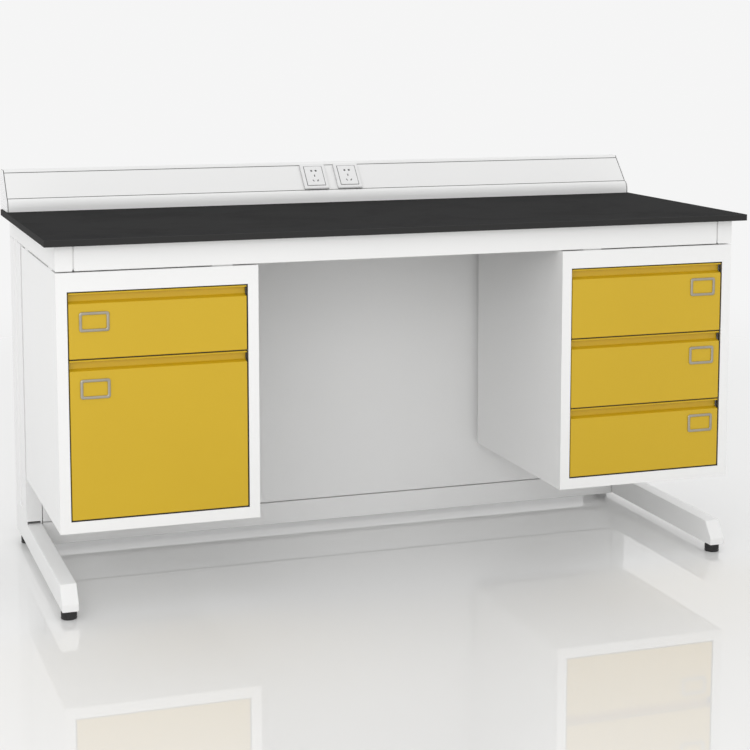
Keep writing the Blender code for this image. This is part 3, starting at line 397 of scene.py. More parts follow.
# %% Moulded plastics
def moulded(name, colour, deep, gloss, grain_size, grain_depth):
    """A moulded plastic with a fine texture from its mould."""
    made, tree, shader, where = start_finish(name, Specular_IOR_Level=0.5)
    grain = use_group(tree, COAT_GRAIN, where, Size=grain_size, Tone_Size=0.08)
    rub = rub_mask(tree, where, patch_size=0.01, cover=0.6)
    body = blend_colours(tree, grain["Tone"], colour, deep)
    lifted = tuple(min(1.0, part * 1.12 + 0.01) for part in colour)
    skin = blend_colours(tree, share(tree, rub, 0.5), body, lifted)
    rough = spread(tree, grain["Height"], 0.3, 0.7, gloss - 0.03, gloss + 0.05)
    end_finish(tree, shader, skin, rough, grain["Height"], grain_depth, strength=0.4)
    return made


WHITE_PLASTIC = moulded("white_moulding", (0.87, 0.87, 0.87), (0.85, 0.85, 0.85), gloss=0.26,
                        grain_size=0.0007, grain_depth=0.00001)
BLACK_PLASTIC = moulded("black_moulding", (0.016, 0.016, 0.016), (0.022, 0.022, 0.022), gloss=0.46,
                        grain_size=0.0006, grain_depth=0.00002)
print("finishes", len(bpy.data.materials))

# %% [markdown]
# ## From a mesh to a piece
#
# Every piece goes through one function. It stores the mesh, smooths it, keeps creases sharper
# than a set angle, and lets a Weighted Normal modifier keep the flat areas flat, so that a small
# rounded edge catches light cleanly. Then it hangs the piece on its body.

# %% Store a mesh as a piece
CREASE = math.radians(38.0)
TOUCH = 0.0003  # what the engineering model leaves between two solids that touch


def store(name, shape, finishes, body, stands_for=()):
    """Turns a bmesh or a mesh into a finished piece of the desk that rides on a body."""
    mesh = shape
    if isinstance(shape, bmesh.types.BMesh):
        mesh = bpy.data.meshes.new(name)
        shape.to_mesh(mesh)
        shape.free()
    for one in finishes if isinstance(finishes, (list, tuple)) else [finishes]:
        mesh.materials.append(one)
    mesh.shade_smooth()
    mesh.set_sharp_from_angle(angle=CREASE)
    piece = place(name, mesh)
    even = piece.modifiers.new("even_normals", "WEIGHTED_NORMAL")
    even.keep_sharp = True
    even.weight = 80
    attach(piece, body)
    if stands_for:
        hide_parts(*stands_for)
    return piece


# %% [markdown]
# The engineering solids are exact but faceted, with knife-sharp edges. A folded sheet never has
# those. The next functions copy a solid, merge its loose triangles into flat faces and round
# what is sharp. They mark the new faces for the edge rub. Where a shape is already right this is
# better than modelling it a second time, because the two can't drift apart.
#
# Parts that are welded together keep a hair's gap in the engineering model. `refine_welded`
# closes it: the end faces move by that gap, and their edges stay sharp, as under a weld that
# was ground flush.

# %% Copy a solid and round its edges
WELD = 0.00002
FLAT = math.radians(0.6)
SHARP = math.radians(50.0)


def clean_copy(node):
    """A merged copy of an engineering solid, its triangles joined into flat faces."""
    shape = bmesh.new()
    shape.from_mesh(frame["nodes"][node].data)
    bmesh.ops.remove_doubles(shape, verts=shape.verts, dist=WELD)
    bmesh.ops.dissolve_limit(shape, angle_limit=FLAT, verts=shape.verts, edges=shape.edges)
    return shape


def round_off(shape, radius, segments=2, sharp=SHARP, leave=lambda edge: False):
    """Rounds sharp edges and marks the new faces with the edge attribute."""
    mark = shape.faces.layers.float.get("edge") or shape.faces.layers.float.new("edge")
    edges = [e for e in shape.edges
             if len(e.link_faces) == 2 and e.calc_face_angle() > sharp and not leave(e)]
    made = bmesh.ops.bevel(shape, geom=edges, offset=radius, segments=segments, profile=0.5,
                           affect="EDGES", clamp_overlap=True)
    for face in made["faces"]:
        face[mark] = 1.0
    return shape


def refine(node, radius, finish, body, segments=2, sharp=SHARP):
    """A piece that stands for one solid, with its edges rounded."""
    shape = round_off(clean_copy(node), radius, segments, sharp)
    return store(f"{node}_made", shape, finish, body, [node])


def refine_welded(node, radius, finish, body):
    """As refine, for an upright that is welded at its top and its foot."""
    shape = clean_copy(node)
    low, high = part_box(node)
    ends = {}
    for vertex in shape.verts:
        for level, way in ((low.z, -1), (high.z, 1)):
            if abs(vertex.co.z - level) < WELD:
                vertex.co.z += way * TOUCH
                ends[vertex] = way
    round_off(shape, radius, leave=lambda e: all(v in ends for v in e.verts))
    return store(f"{node}_made", shape, finish, body, [node])


# %% [markdown]
# Frames and plates with rounded corners are lofts: a skin through rings of points. A frame closes
# on itself like a squared-off doughnut, and a cushion is capped at both ends.

# %% Rings and lofts
def rounded_rectangle(half_x, half_z, corner, steps=6):
    """Points round a rectangle with rounded corners, anticlockwise."""
    points = []
    for index, (sx, sz) in enumerate(((1, 1), (-1, 1), (-1, -1), (1, -1))):
        for step in range(steps + 1):
            turn = math.pi / 2 * (index + step / steps)
            points.append((sx * (half_x - corner) + corner * math.cos(turn),
                           sz * (half_z - corner) + corner * math.sin(turn)))
    return points


def loft(rings, capped=False):
    """A closed skin through rings of equal point counts: joined end to end, or capped."""
    shape = bmesh.new()
    loops = [[shape.verts.new(point) for point in ring] for ring in rings]
    following = loops[1:] if capped else loops[1:] + loops[:1]
    for first, second in zip(loops, following):
        for index in range(len(first)):
            after = (index + 1) % len(first)
            shape.faces.new((first[index], first[after], second[after], second[index]))
    if capped:
        shape.faces.new(loops[0])
        shape.faces.new(loops[-1])
    bmesh.ops.recalc_face_normals(shape, faces=shape.faces)
    return shape


print("lofts ready")

# %% [markdown]
# ## Repeating pieces with Geometry Nodes
#
# Screws, grip ribs and threads repeat, so each gets a small geometry tree with its sizes as
# named inputs. A tree reads a seed mesh: a point for each copy, with the direction that the
# copy faces stored on it. Every tree ends in Realize Instances and Set Material, and the result
# is taken off as a plain mesh, so nothing depends on the modifier afterwards.

# %% Helpers for geometry trees
def geometry_tree(name, inputs):
    """A geometry tree that takes seeds, sizes and a finish, and gives pieces."""
    sizes = [(label, kind, None) for label, kind in inputs]
    return node_group("GeometryNodeTree", name,
                      [("Seeds", "Geometry", None), *sizes, ("Finish", "Material", None)],
                      [("Pieces", "Geometry")])


def end_tree(tree, given, result, shape):
    """Copies a shape to every seed, turned its way, then realizes and paints the copies."""
    aim = add(tree, "GeometryNodeInputNamedAttribute", {"Name": "aim"}, data_type="FLOAT_VECTOR")
    turn = add(tree, "FunctionNodeAlignRotationToVector", {"Vector": aim.outputs["Attribute"]},
               axis="Z")
    copies = add(tree, "GeometryNodeInstanceOnPoints",
                 {"Points": given["Seeds"], "Instance": shape,
                  "Rotation": turn.outputs["Rotation"]})
    real = add(tree, "GeometryNodeRealizeInstances", {"Geometry": copies.outputs["Instances"]})
    painted = add(tree, "GeometryNodeSetMaterial",
                  {"Geometry": real.outputs[0], "Material": given["Finish"]})
    tree.links.new(painted.outputs[0], result["Pieces"])
    return tree


def seeds(places, directions):
    """A mesh of single points that remember which way each copy faces."""
    mesh = bpy.data.meshes.new("seeds")
    mesh.from_pydata([tuple(spot) for spot in places], [], [])
    aim = mesh.attributes.new("aim", "FLOAT_VECTOR", "POINT")
    for item, direction in zip(aim.data, directions):
        item.vector = direction
    return mesh


def grow(name, tree, seed_mesh, finish, body, slot, **sizes):
    """Runs a tree on its seeds and stores the result as a piece of one body."""
    carrier = place(name, seed_mesh)
    modifier = carrier.modifiers.new(tree.name, "NODES")
    modifier.node_group = tree
    inputs = {item.name: item.identifier for item in tree.interface.items_tree
              if item.item_type == "SOCKET" and item.in_out == "INPUT"}
    modifier[inputs["Finish"]] = finish
    for label, value in sizes.items():
        modifier[inputs[label.replace("_", " ")]] = value
    evaluated = carrier.evaluated_get(bpy.context.evaluated_depsgraph_get())
    mesh = bpy.data.meshes.new_from_object(evaluated)
    bpy.data.objects.remove(carrier)
    mesh.materials.clear()
    print(name, len(mesh.polygons), "faces")
    return store(name, mesh, finish, body)


# %% [markdown]
# ### A pan-head screw
#
# The head is a sphere that is squashed to a low dome and cut flat just under the surface that it
# sits on. Two crossed blocks cut the recess. The tree copies that one head to every seed.

# %% Tree for screws
HEAD_SUNK = 0.0002  # how far a head reaches below the surface that it sits on


def build_screw_tree():
    """Pan-head screws with a cross recess, one for each seed."""
    tree, given, result = geometry_tree(
        "pan_head_screws",
        [("Head Radius", "Float"), ("Head Height", "Float"), ("Recess Width", "Float")])
    radius, height = given["Head Radius"], given["Head Height"]
    ball = add(tree, "GeometryNodeMeshUVSphere", {"Segments": 20, "Rings": 12, "Radius": 1.0})
    size = add(tree, "ShaderNodeCombineXYZ", {"X": radius, "Y": radius, "Z": height})
    dome = add(tree, "GeometryNodeTransform",
               {"Geometry": ball.outputs["Mesh"], "Scale": size.outputs[0]})
    position = tree.nodes.new("GeometryNodeInputPosition")
    parts = add(tree, "ShaderNodeSeparateXYZ", {"Vector": position.outputs[0]}).outputs
    lifted = calculate(tree, "MAXIMUM", parts["Z"], -HEAD_SUNK)
    flat = add(tree, "ShaderNodeCombineXYZ", {"X": parts["X"], "Y": parts["Y"], "Z": lifted})
    head = add(tree, "GeometryNodeSetPosition",
               {"Geometry": dome.outputs["Geometry"], "Position": flat.outputs[0]})
    cut = head.outputs["Geometry"]
    lift = add(tree, "ShaderNodeCombineXYZ", {"Z": height})
    for along, across in ("XY", "YX"):
        extent = add(tree, "ShaderNodeCombineXYZ",
                     {along: share(tree, radius, 1.15), across: given["Recess Width"], "Z": height})
        blade = add(tree, "GeometryNodeMeshCube", {"Size": extent.outputs[0]})
        raised = add(tree, "GeometryNodeTransform",
                     {"Geometry": blade.outputs["Mesh"], "Translation": lift.outputs[0]})
        step = add(tree, "GeometryNodeMeshBoolean",
                   {"Mesh 1": cut, "Mesh 2": raised.outputs["Geometry"]}, operation="DIFFERENCE")
        cut = step.outputs["Mesh"]
    return end_tree(tree, given, result, cut)


SCREW_TREE = build_screw_tree()
print("screw tree", len(SCREW_TREE.nodes), "nodes")

# %% [markdown]
# ### Grip ribs and a thread
#
# A moulded pad has ribs so that fingers don't slip. The rib tree spaces small round bars on a
# circle about each seed. The thread tree sweeps a small profile along a helix, as a thread
# runs.

# %% Trees for ribs and threads
def build_rib_tree():
    """Round ribs about the seed, spread evenly on a circle."""
    tree, given, result = geometry_tree(
        "grip_ribs", [("Count", "Int"), ("Ring Radius", "Float"), ("Rib Radius", "Float"),
                      ("Rib Length", "Float")])
    ring = add(tree, "GeometryNodeMeshCircle",
               {"Vertices": given["Count"], "Radius": given["Ring Radius"]})
    rib = add(tree, "GeometryNodeMeshCylinder",
              {"Vertices": 8, "Radius": given["Rib Radius"], "Depth": given["Rib Length"]})
    about = add(tree, "GeometryNodeInstanceOnPoints",
                {"Points": ring.outputs["Mesh"], "Instance": rib.outputs["Mesh"]})
    grip = add(tree, "GeometryNodeRealizeInstances", {"Geometry": about.outputs["Instances"]})
    return end_tree(tree, given, result, grip.outputs["Geometry"])


def build_thread_tree():
    """A thread that climbs from the seed: a small profile swept along a helix."""
    tree, given, result = geometry_tree(
        "thread", [("Turns", "Float"), ("Radius", "Float"), ("Pitch", "Float"), ("Depth", "Float")])
    helix = add(tree, "GeometryNodeCurveSpiral",
                {"Resolution": 20, "Rotations": given["Turns"], "Start Radius": given["Radius"],
                 "End Radius": given["Radius"],
                 "Height": share(tree, given["Turns"], given["Pitch"])})
    tooth = add(tree, "GeometryNodeCurvePrimitiveCircle",
                {"Resolution": 4, "Radius": given["Depth"]}, mode="RADIUS")
    swept = add(tree, "GeometryNodeCurveToMesh",
                {"Curve": helix.outputs["Curve"], "Profile Curve": tooth.outputs["Curve"],
                 "Fill Caps": True})
    return end_tree(tree, given, result, swept.outputs["Mesh"])


RIB_TREE = build_rib_tree()
THREAD_TREE = build_thread_tree()
print("geometry trees", [t.name for t in (SCREW_TREE, RIB_TREE, THREAD_TREE)])

# %% [markdown]
# ## The two cantilever frames
#
# Each side is a foot, a column and an arm of rectangular steel, welded and coated as one. The
# columns are folded from sheet with a groove down the outside. Rails tie the sides together.

# %% Side frames and rails
SHEET_EDGE = 0.0006

for node in ("left_foot", "right_foot", "left_arm", "right_arm", "front_rail", "rear_rail",
             "lower_beam"):
    refine(node, SHEET_EDGE, WHITE_COAT, "frame")
for node in ("left_column", "right_column"):
    refine_welded(node, SHEET_EDGE, WHITE_COAT, "frame")

# %% [markdown]
# The feet and arms are open at the back, where a plastic insert closes each tube. The insert's
# face sits just inside the end.

# %% Tube inserts
TUBE_WALL = 0.002
INSERT_DEPTH = 0.016
INSERT_INSET = 0.0008
INSERT_PLAY = 0.0004
INSERT_EDGE = 0.0015


def make_block(low, high):
    """A closed box between two corners."""
    shape = bmesh.new()
    bmesh.ops.create_cube(shape, size=1.0)
    bmesh.ops.scale(shape, vec=high - low, verts=shape.verts)
    bmesh.ops.translate(shape, vec=(low + high) / 2, verts=shape.verts)
    return shape


def tube_insert(node):
    """A moulded plug in the rear end of a tube."""
    low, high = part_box(node)
    margin = TUBE_WALL + INSERT_PLAY
    inner = Vector((margin, 0.0, margin))
    back = Vector((0.0, high.y - INSERT_INSET, 0.0))
    plug = make_block(Vector((low.x, 0.0, low.z)) + inner + back - Vector((0.0, INSERT_DEPTH, 0.0)),
                      Vector((high.x, 0.0, high.z)) - inner + back)
    round_off(plug, INSERT_EDGE, 3)
    store(f"{node}_insert", plug, BLACK_PLASTIC, "frame")


for node in ("left_foot", "right_foot", "left_arm", "right_arm"):
    tube_insert(node)

# %% [markdown]
# The rear panel, the service cover and the two pedestal cases are folded sheet, coated white.

# %% Panels and pedestal cases
for node in ("rear_panel", "service_cover", "left_pedestal", "right_pedestal"):
    refine(node, SHEET_EDGE, WHITE_COAT, "frame")

# %% [markdown]
# The service cover has to come off for wiring, so screws hold it all round. Pedestal backs are
# fixed with a few more. Their places follow each panel's own box.

# %% Panel screws
SCREW_INSET = 0.012


def edge_row(start, end, count):
    """Evenly spaced points from start to end."""
    return [start.lerp(end, step / (count - 1)) for step in range(count)]


def screw_rectangle(low, high, y, across, up):
    """Screw places round an upright rectangle that faces the back."""
    outline = ((low.x, low.z), (high.x, low.z), (high.x, high.z), (low.x, high.z))
    corners = [Vector((x, y, z)) for x, z in outline]
    places = []
    for index, count in enumerate((across, up, across, up)):
        places += edge_row(corners[index], corners[(index + 1) % 4], count)[:-1]
    return places


cover_low, cover_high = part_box("service_cover")
inset = Vector((SCREW_INSET, 0.0, SCREW_INSET))
places = screw_rectangle(cover_low + inset, cover_high - inset, cover_high.y, 6, 3)
for hand in ("left", "right"):
    case_low, case_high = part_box(f"{hand}_pedestal")
    drop = Vector((SCREW_INSET * 1.5, 0.0, SCREW_INSET * 1.5))
    places += screw_rectangle(case_low + drop, case_high - drop, case_high.y, 3, 3)
grow("panel_screws", SCREW_TREE, seeds(places, [(0.0, 1.0, 0.0)] * len(places)), ZINC, "frame",
     "zinc_steel", Head_Radius=0.0042, Head_Height=0.0021, Recess_Width=0.0009)

# %% [markdown]
# ## The worktop
#
# One board, with a small arris along every edge so that it isn't sharp to the arm. All its edges
# are rounded in one go, and its sides get the sawn finish.

# %% Worktop board
ARRIS = 0.0010
board = round_off(make_block(*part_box("worktop")), ARRIS, 3)
for face in board.faces:
    face.material_index = 1 if abs(face.normal.z) < 0.2 else 0
worktop = store("worktop_board", board, [RESIN_FACE, RESIN_EDGE], "frame",
                ["worktop"])
print("worktop", [round(v, 3) for v in worktop.dimensions])

# %% [markdown]
# ## Drawers
#
# Each front is folded from one sheet, with a finger pull along its top edge. Behind it sits the
# drawer box. Both ride on the drawer's own body.

# %% Fronts and boxes
DRAWERS = [name for name in frame["bodies"] if "_drawer_" in name and not name.endswith("_slides")]
FRONT_EDGE = 0.0005
THIN_EDGE = 0.0004  # on thin sheet: boxes, slides and the trunking's cover

for drawer in DRAWERS:
    refine(f"{drawer}_front", FRONT_EDGE, YELLOW_COAT, drawer)
    refine(f"{drawer}_box", THIN_EDGE, GREY_COAT, drawer)
print("drawers", DRAWERS)

# %% [markdown]
# Black strips fill the gaps round the fronts, set back from the face. They are painted shade: they
# make the gaps look dark. Those at the sides ride on the fronts, because the slide members come
# out through the sides of the opening. The strips along its top and foot stay on the pedestal.

# %% Shade strips in the drawer gaps
DRAWER_GAP = 0.003
GAP_SHADE_PLAY = 0.0005
GAP_SHADE_LAP = 0.004
GAP_SHADE_DEPTH = (0.0035, 0.0085)  # from the face, near and far side


def gap_shade_strip(name, face, across, up, body):
    """A black strip of painted shade with rounded edges, set back from a face, between two limits.
    """
    low = Vector((across[0], face + GAP_SHADE_DEPTH[0], up[0]))
    high = Vector((across[1], face + GAP_SHADE_DEPTH[1], up[1]))
    strip = round_off(make_block(low, high), GAP_SHADE_PLAY)
    # painted shade: the black strip darkens the gap in front of it
    return store(f"{name}_gap_shade", strip, BLACK_PLASTIC, body)


def opening_strips(hand):
    """Strips along the top and the foot of one pedestal's opening, lapped behind its edge."""
    corners = [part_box(f"{name}_front") for name in DRAWERS if name.startswith(hand)]
    low = Vector([min(low[axis] for low, _ in corners) for axis in range(3)])
    high = Vector([max(high[axis] for _, high in corners) for axis in range(3)])
    reach = DRAWER_GAP + GAP_SHADE_LAP
    across = (low.x - reach, high.x + reach)
    gap_shade_strip(f"{hand}_upper", low.y, across, (high.z + GAP_SHADE_PLAY, high.z + reach), "frame")
    gap_shade_strip(f"{hand}_lower", low.y, across, (low.z - reach, low.z - GAP_SHADE_PLAY), "frame")


def front_strips(drawer, has_one_below):
    """Strips down both sides of a front, and under it where another front lies below."""
    low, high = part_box(f"{drawer}_front")
    reach = DRAWER_GAP - GAP_SHADE_PLAY
    up = (low.z + TOUCH, high.z - TOUCH)
    gap_shade_strip(f"{drawer}_left", low.y, (low.x - reach, low.x - TOUCH), up, drawer)
    gap_shade_strip(f"{drawer}_right", low.y, (high.x + TOUCH, high.x + reach), up, drawer)
    if has_one_below:
        across = (low.x + GAP_SHADE_LAP, high.x - GAP_SHADE_LAP)
        gap_shade_strip(f"{drawer}_front", low.y, across, (low.z - reach, low.z - TOUCH), drawer)


for hand in ("left", "right"):
    opening_strips(hand)
    column = [name for name in DRAWERS if name.startswith(hand)]
    for drawer in column:
        front_strips(drawer, drawer != column[-1])

# %% [markdown]
# ### Card holders
#
# A card holder is pressed from thin plated sheet: its rim swells to a soft bead. That is a loft
# through rounded rectangles, each with its own size, corner and height.

# %% Pressed card holders
# The section of the rim: how far across it and how high on it each ring lies, as shares.
BEAD = ((0.0, 0.0), (0.0, 0.55), (0.10, 0.85), (0.28, 1.0), (0.62, 1.0), (0.82, 0.85),
        (0.92, 0.55), (0.92, 0.0))
HOLDER_RIM = 0.0070
HOLDER_CORNER = 0.006
WINDOW_CORNER = 0.003


def card_holder(drawer):
    """One pressed holder on a drawer front."""
    low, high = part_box(f"{drawer}_card_holder")
    middle = (low + high) / 2
    rings = []
    for across, rise in BEAD:
        half_x = (high.x - low.x) / 2 - across * HOLDER_RIM
        half_z = (high.z - low.z) / 2 - across * HOLDER_RIM
        corner = HOLDER_CORNER + (WINDOW_CORNER - HOLDER_CORNER) * across
        y = high.y - rise * (high.y - low.y)
        outline = rounded_rectangle(half_x, half_z, corner)
        rings.append([(middle.x + x, y, middle.z + z) for x, z in outline])
    return store(f"{drawer}_card_frame", loft(rings), NICKEL, drawer,
                 [f"{drawer}_card_holder"])


for drawer in DRAWERS:
    card_holder(drawer)

# %% [markdown]
# ### Slides
#
# Each drawer runs on two telescopic slides. The fixed member is joined to the pedestal, and the
# middle member travels half as far as the drawer.

# %% Slides
for drawer in DRAWERS:
    for hand in ("left", "right"):
        refine(f"{drawer}_{hand}_slide_fixed", THIN_EDGE, ZINC, "frame")
        refine(f"{drawer}_{hand}_slide_middle", THIN_EDGE, ZINC, f"{drawer}_slides")

# %% [markdown]
# ## Socket trunking
#
# The trunking is one long folded casing. A sloped cover clips into it between two fine joints,
# and a moulded cap closes each end.

# %% Trunking and caps
FOLD = math.radians(30.0)  # the angle passed as `sharp` for the trunking's folded section

refine("trunking_housing", SHEET_EDGE, WHITE_COAT, "frame", sharp=FOLD)
refine("trunking_cover", THIN_EDGE, WHITE_COAT, "frame")
for hand in ("left", "right"):
    refine(f"{hand}_end_cap", SHEET_EDGE, WHITE_PLASTIC, "frame", sharp=FOLD)

# %% [markdown]
# A black fill in each joint of the trunking is painted shade, so the joints show as fine dark
# lines that draw its shape. The end fills have the section of the folded sheet. So they start as
# the sheet's own end faces, which are drawn out across the joint.

# %% Shade in the end joints
CAP_JOINT = 0.0016
SHADE_FILL_PLAY = 0.0002


def end_shade_fill(node, side):
    """Painted shade: a black fill between the end of a solid and the cap beside it."""
    shape = clean_copy(node)
    end = max(v.co.x * side for v in shape.verts)
    off = [f for f in shape.faces if any(end - v.co.x * side > WELD for v in f.verts)]
    bmesh.ops.delete(shape, geom=off, context="FACES")
    bmesh.ops.translate(shape, vec=(side * SHADE_FILL_PLAY, 0.0, 0.0), verts=shape.verts)
    drawn = bmesh.ops.extrude_face_region(shape, geom=list(shape.faces), use_keep_orig=True)
    moved = [item for item in drawn["geom"] if isinstance(item, bmesh.types.BMVert)]
    bmesh.ops.translate(shape, vec=(side * (CAP_JOINT - 2 * SHADE_FILL_PLAY), 0.0, 0.0), verts=moved)
    bmesh.ops.recalc_face_normals(shape, faces=shape.faces)
    return shape


for side, hand in ((-1, "left"), (1, "right")):
    for node in ("trunking_housing", "trunking_cover"):
        # painted shade: black fills in the end joints of the trunking
        store(f"{hand}_{node}_gasket", end_shade_fill(node, side), BLACK_PLASTIC, "frame")

# %% [markdown]
# ### Socket modules
#
# A socket lies on the slope, so it is modelled flat and turned onto it. The slope isn't guessed:
# its direction is the normal of the cover's largest face. The plate and its insert are separate
# mouldings, and the fine groove between them is what the eye reads as a socket. Five pin holes
# go into the insert, with a shutter behind them that is black as painted shade in the holes.

# %% Find the slope
def slope_axes():
    """Right, up the slope and out of it, and how far out the cover's face lies."""
    cover = frame["nodes"]["trunking_cover"].data
    widest = max(cover.polygons, key=lambda face: face.area if face.normal.y < -0.3 else 0.0)
    out = widest.normal.normalized()
    right = Vector((1.0, 0.0, 0.0))
    level = max(out.dot(v.co) for v in cover.vertices)
    return right, out.cross(right).normalized(), out, level


RIGHT, UP_SLOPE, OUT, FACE_LEVEL = slope_axes()
print("slope", round(math.degrees(math.atan2(UP_SLOPE.z, UP_SLOPE.y)), 2), "degrees")


def lay_on_slope(shape, middle_x, middle_along):
    """Turns a shape modelled flat in X and Y, with Z out, onto the slope."""
    turn = Matrix((RIGHT, UP_SLOPE, OUT)).transposed()
    bmesh.ops.rotate(shape, matrix=turn, verts=shape.verts)
    shift = RIGHT * middle_x + UP_SLOPE * middle_along + OUT * FACE_LEVEL
    bmesh.ops.translate(shape, vec=shift, verts=shape.verts)
    return shape


# %% [markdown]
# The joints above and below the cover are straight, so their black fills of painted shade are
# plain strips that lie on the slope.

# %% Shade in the joints above and below the cover
COVER_JOINT = 0.0020
SHADE_FILL_DEPTH = 0.0012

cover_points = [v.co for v in frame["nodes"]["trunking_cover"].data.vertices]
cover_along = [fn(point.dot(UP_SLOPE) for point in cover_points) for fn in (min, max)]
cover_half = max(point.x for point in cover_points)
reach = COVER_JOINT / 2 - SHADE_FILL_PLAY
for edge, along in (("lower", cover_along[0] - COVER_JOINT / 2),
                    ("upper", cover_along[1] + COVER_JOINT / 2)):
    # painted shade: a black strip darkens each joint of the cover
    strip = make_block(Vector((-cover_half, -reach, -SHADE_FILL_DEPTH)),
                       Vector((cover_half, reach, -SHADE_FILL_PLAY)))
    store(f"{edge}_cover_gasket", lay_on_slope(strip, 0.0, along), BLACK_PLASTIC, "frame")

# %% [markdown]
# A plate and an insert are lofts through a few flat rings. The pin holes are cut with Booleans
# that are applied at once. A black layer under the plate is painted shade along its sides.

# %% Socket plates and inserts
PLATE_CORNER = 0.003
PLATE_RISE = 0.0075
GROOVE = 0.0014
INSERT_MARGIN = 0.0085
INSERT_RISE = 0.0085
INNER_CORNER = 0.0015
INSERT_CORNER = 0.0012
PIN_RADIUS = 0.0032
PIN_SPACING = 0.0127
PIN_WELL = 0.012
PIN_ROW = 0.4  # of half the plate's height, from its middle to the outer rows of holes
SLOT_WIDTH = 0.0029
SLOT_LENGTH = 0.0072
SLOT_SPACING = 0.0127
SLOT_TILT = math.radians(30.0)
SHUTTER_SHADE_TOP = 0.0066
PLATE_SHADE_LAYER = 0.0022


def flat_ring(half_x, half_y, corner, height):
    """One ring of a flat moulding."""
    return [(x, y, height) for x, y in rounded_rectangle(half_x, half_y, corner, 4)]


def plate_shape(half_x, half_y):
    """The outer plate: a frame with softened edges and a groove round its insert."""
    inner_x, inner_y = half_x - INSERT_MARGIN, half_y - INSERT_MARGIN
    outside = ((0.0, PLATE_SHADE_LAYER), (0.0, PLATE_RISE * 0.72), (0.0004, PLATE_RISE * 0.90),
               (0.0013, PLATE_RISE))
    inside = ((0.0004, PLATE_RISE), (0.0, PLATE_RISE - 0.0004), (0.0, PLATE_SHADE_LAYER))
    return loft([flat_ring(half_x - inset, half_y - inset, PLATE_CORNER, height)
                 for inset, height in outside]
                + [flat_ring(inner_x + outset, inner_y + outset, INNER_CORNER, height)
                   for outset, height in inside])


def insert_shape(half_x, half_y):
    """The insert: a shallow cushion inside the plate, closed underneath."""
    inner_x, inner_y = half_x - INSERT_MARGIN - GROOVE, half_y - INSERT_MARGIN - GROOVE
    profile = ((0.0, TOUCH - PIN_WELL), (0.0, INSERT_RISE - 0.0010),
               (0.0003, INSERT_RISE - 0.0003), (0.0010, INSERT_RISE))
    return loft([flat_ring(inner_x - inset, inner_y - inset, INSERT_CORNER, height)
                 for inset, height in profile], capped=True)


def pin_holes(half_y):
    """The cutters of the five pin holes, as one list of flat shapes."""
    cutters = []
    top, depth = INSERT_RISE * 1.5, PIN_WELL * 0.9
    row = half_y * PIN_ROW
    for side in (-1, 1):
        pin = bmesh.new()
        bmesh.ops.create_cone(pin, cap_ends=True, segments=16, radius1=PIN_RADIUS,
                              radius2=PIN_RADIUS, depth=top + depth)
        bmesh.ops.translate(pin, vec=(side * PIN_SPACING / 2, row, (top - depth) / 2),
                            verts=pin.verts)
        cutters.append(pin)
    for x, y, tilt in ((0.0, 0.0, 0.0), (-SLOT_SPACING / 2, -row, SLOT_TILT),
                       (SLOT_SPACING / 2, -row, -SLOT_TILT)):
        slot = make_block(Vector((-SLOT_WIDTH / 2, -SLOT_LENGTH / 2, -depth)),
                          Vector((SLOT_WIDTH / 2, SLOT_LENGTH / 2, top)))
        bmesh.ops.rotate(slot, matrix=Matrix.Rotation(tilt, 3, "Z"), verts=slot.verts)
        bmesh.ops.translate(slot, vec=(x, y, 0.0), verts=slot.verts)
        cutters.append(slot)
    return cutters


def scratch_object(shape, name):
    """A short-lived object for a Boolean."""
    mesh = bpy.data.meshes.new(name)
    shape.to_mesh(mesh)
    shape.free()
    return place(name, mesh)


def cut_away(shape, cutters):
    """The shape with every cutter taken out of it, as a bmesh."""
    body = scratch_object(shape, "being_cut")
    tools = [scratch_object(cutter, "cutter") for cutter in cutters]
    for tool in tools:
        step = body.modifiers.new("cut", "BOOLEAN")
        step.operation = "DIFFERENCE"
        step.solver = "EXACT"
        step.object = tool
    evaluated = body.evaluated_get(bpy.context.evaluated_depsgraph_get())
    mesh = bpy.data.meshes.new_from_object(evaluated)
    for used in (body, *tools):
        bpy.data.objects.remove(used)
    result = bmesh.new()
    result.from_mesh(mesh)
    bpy.data.meshes.remove(mesh)
    return result


for hand in ("left", "right"):
    node = f"{hand}_socket"
    corners = [v.co for v in frame["nodes"][node].data.vertices]
    x_span = [fn(c.x for c in corners) for fn in (min, max)]
    raised = [c.dot(UP_SLOPE) for c in corners if c.dot(OUT) > FACE_LEVEL]
    half_x, half_y = (x_span[1] - x_span[0]) / 2, (max(raised) - min(raised)) / 2
    middle_x, middle_along = sum(x_span) / 2, (max(raised) + min(raised)) / 2
    plate = lay_on_slope(plate_shape(half_x, half_y), middle_x, middle_along)
    store(f"{hand}_socket_plate", plate, WHITE_PLASTIC, "frame", [node])
    insert = cut_away(insert_shape(half_x, half_y), pin_holes(half_y))
    store(f"{hand}_socket_insert", lay_on_slope(insert, middle_x, middle_along), WHITE_PLASTIC,
          "frame")
    inner_x, inner_y = half_x - INSERT_MARGIN, half_y - INSERT_MARGIN
    # painted shade: the shutter is black so that the pin holes look dark
    shutter_shade = make_block(Vector((-inner_x, -inner_y, TOUCH)),
                         Vector((inner_x, inner_y, SHUTTER_SHADE_TOP)))
    # painted shade: a black layer under the plate darkens the plate's sides
    under = make_block(Vector((-half_x, -half_y, TOUCH)), Vector((half_x, half_y, PLATE_SHADE_LAYER)))
    round_off(under, PLATE_CORNER / 2)
    for part, shape in (("shutter_shade", shutter_shade), ("gasket", under)):
        store(f"{hand}_socket_{part}", lay_on_slope(shape, middle_x, middle_along), BLACK_PLASTIC,
              "frame")

# %% [markdown]
# ## Levelling feet
#
# A levelling foot is a moulded pad with ribs to grip and a threaded stem that goes up into the
# foot tube. Pad and stem are turned: a profile is spun about the foot's own axis, which is also
# the axis of its joint.

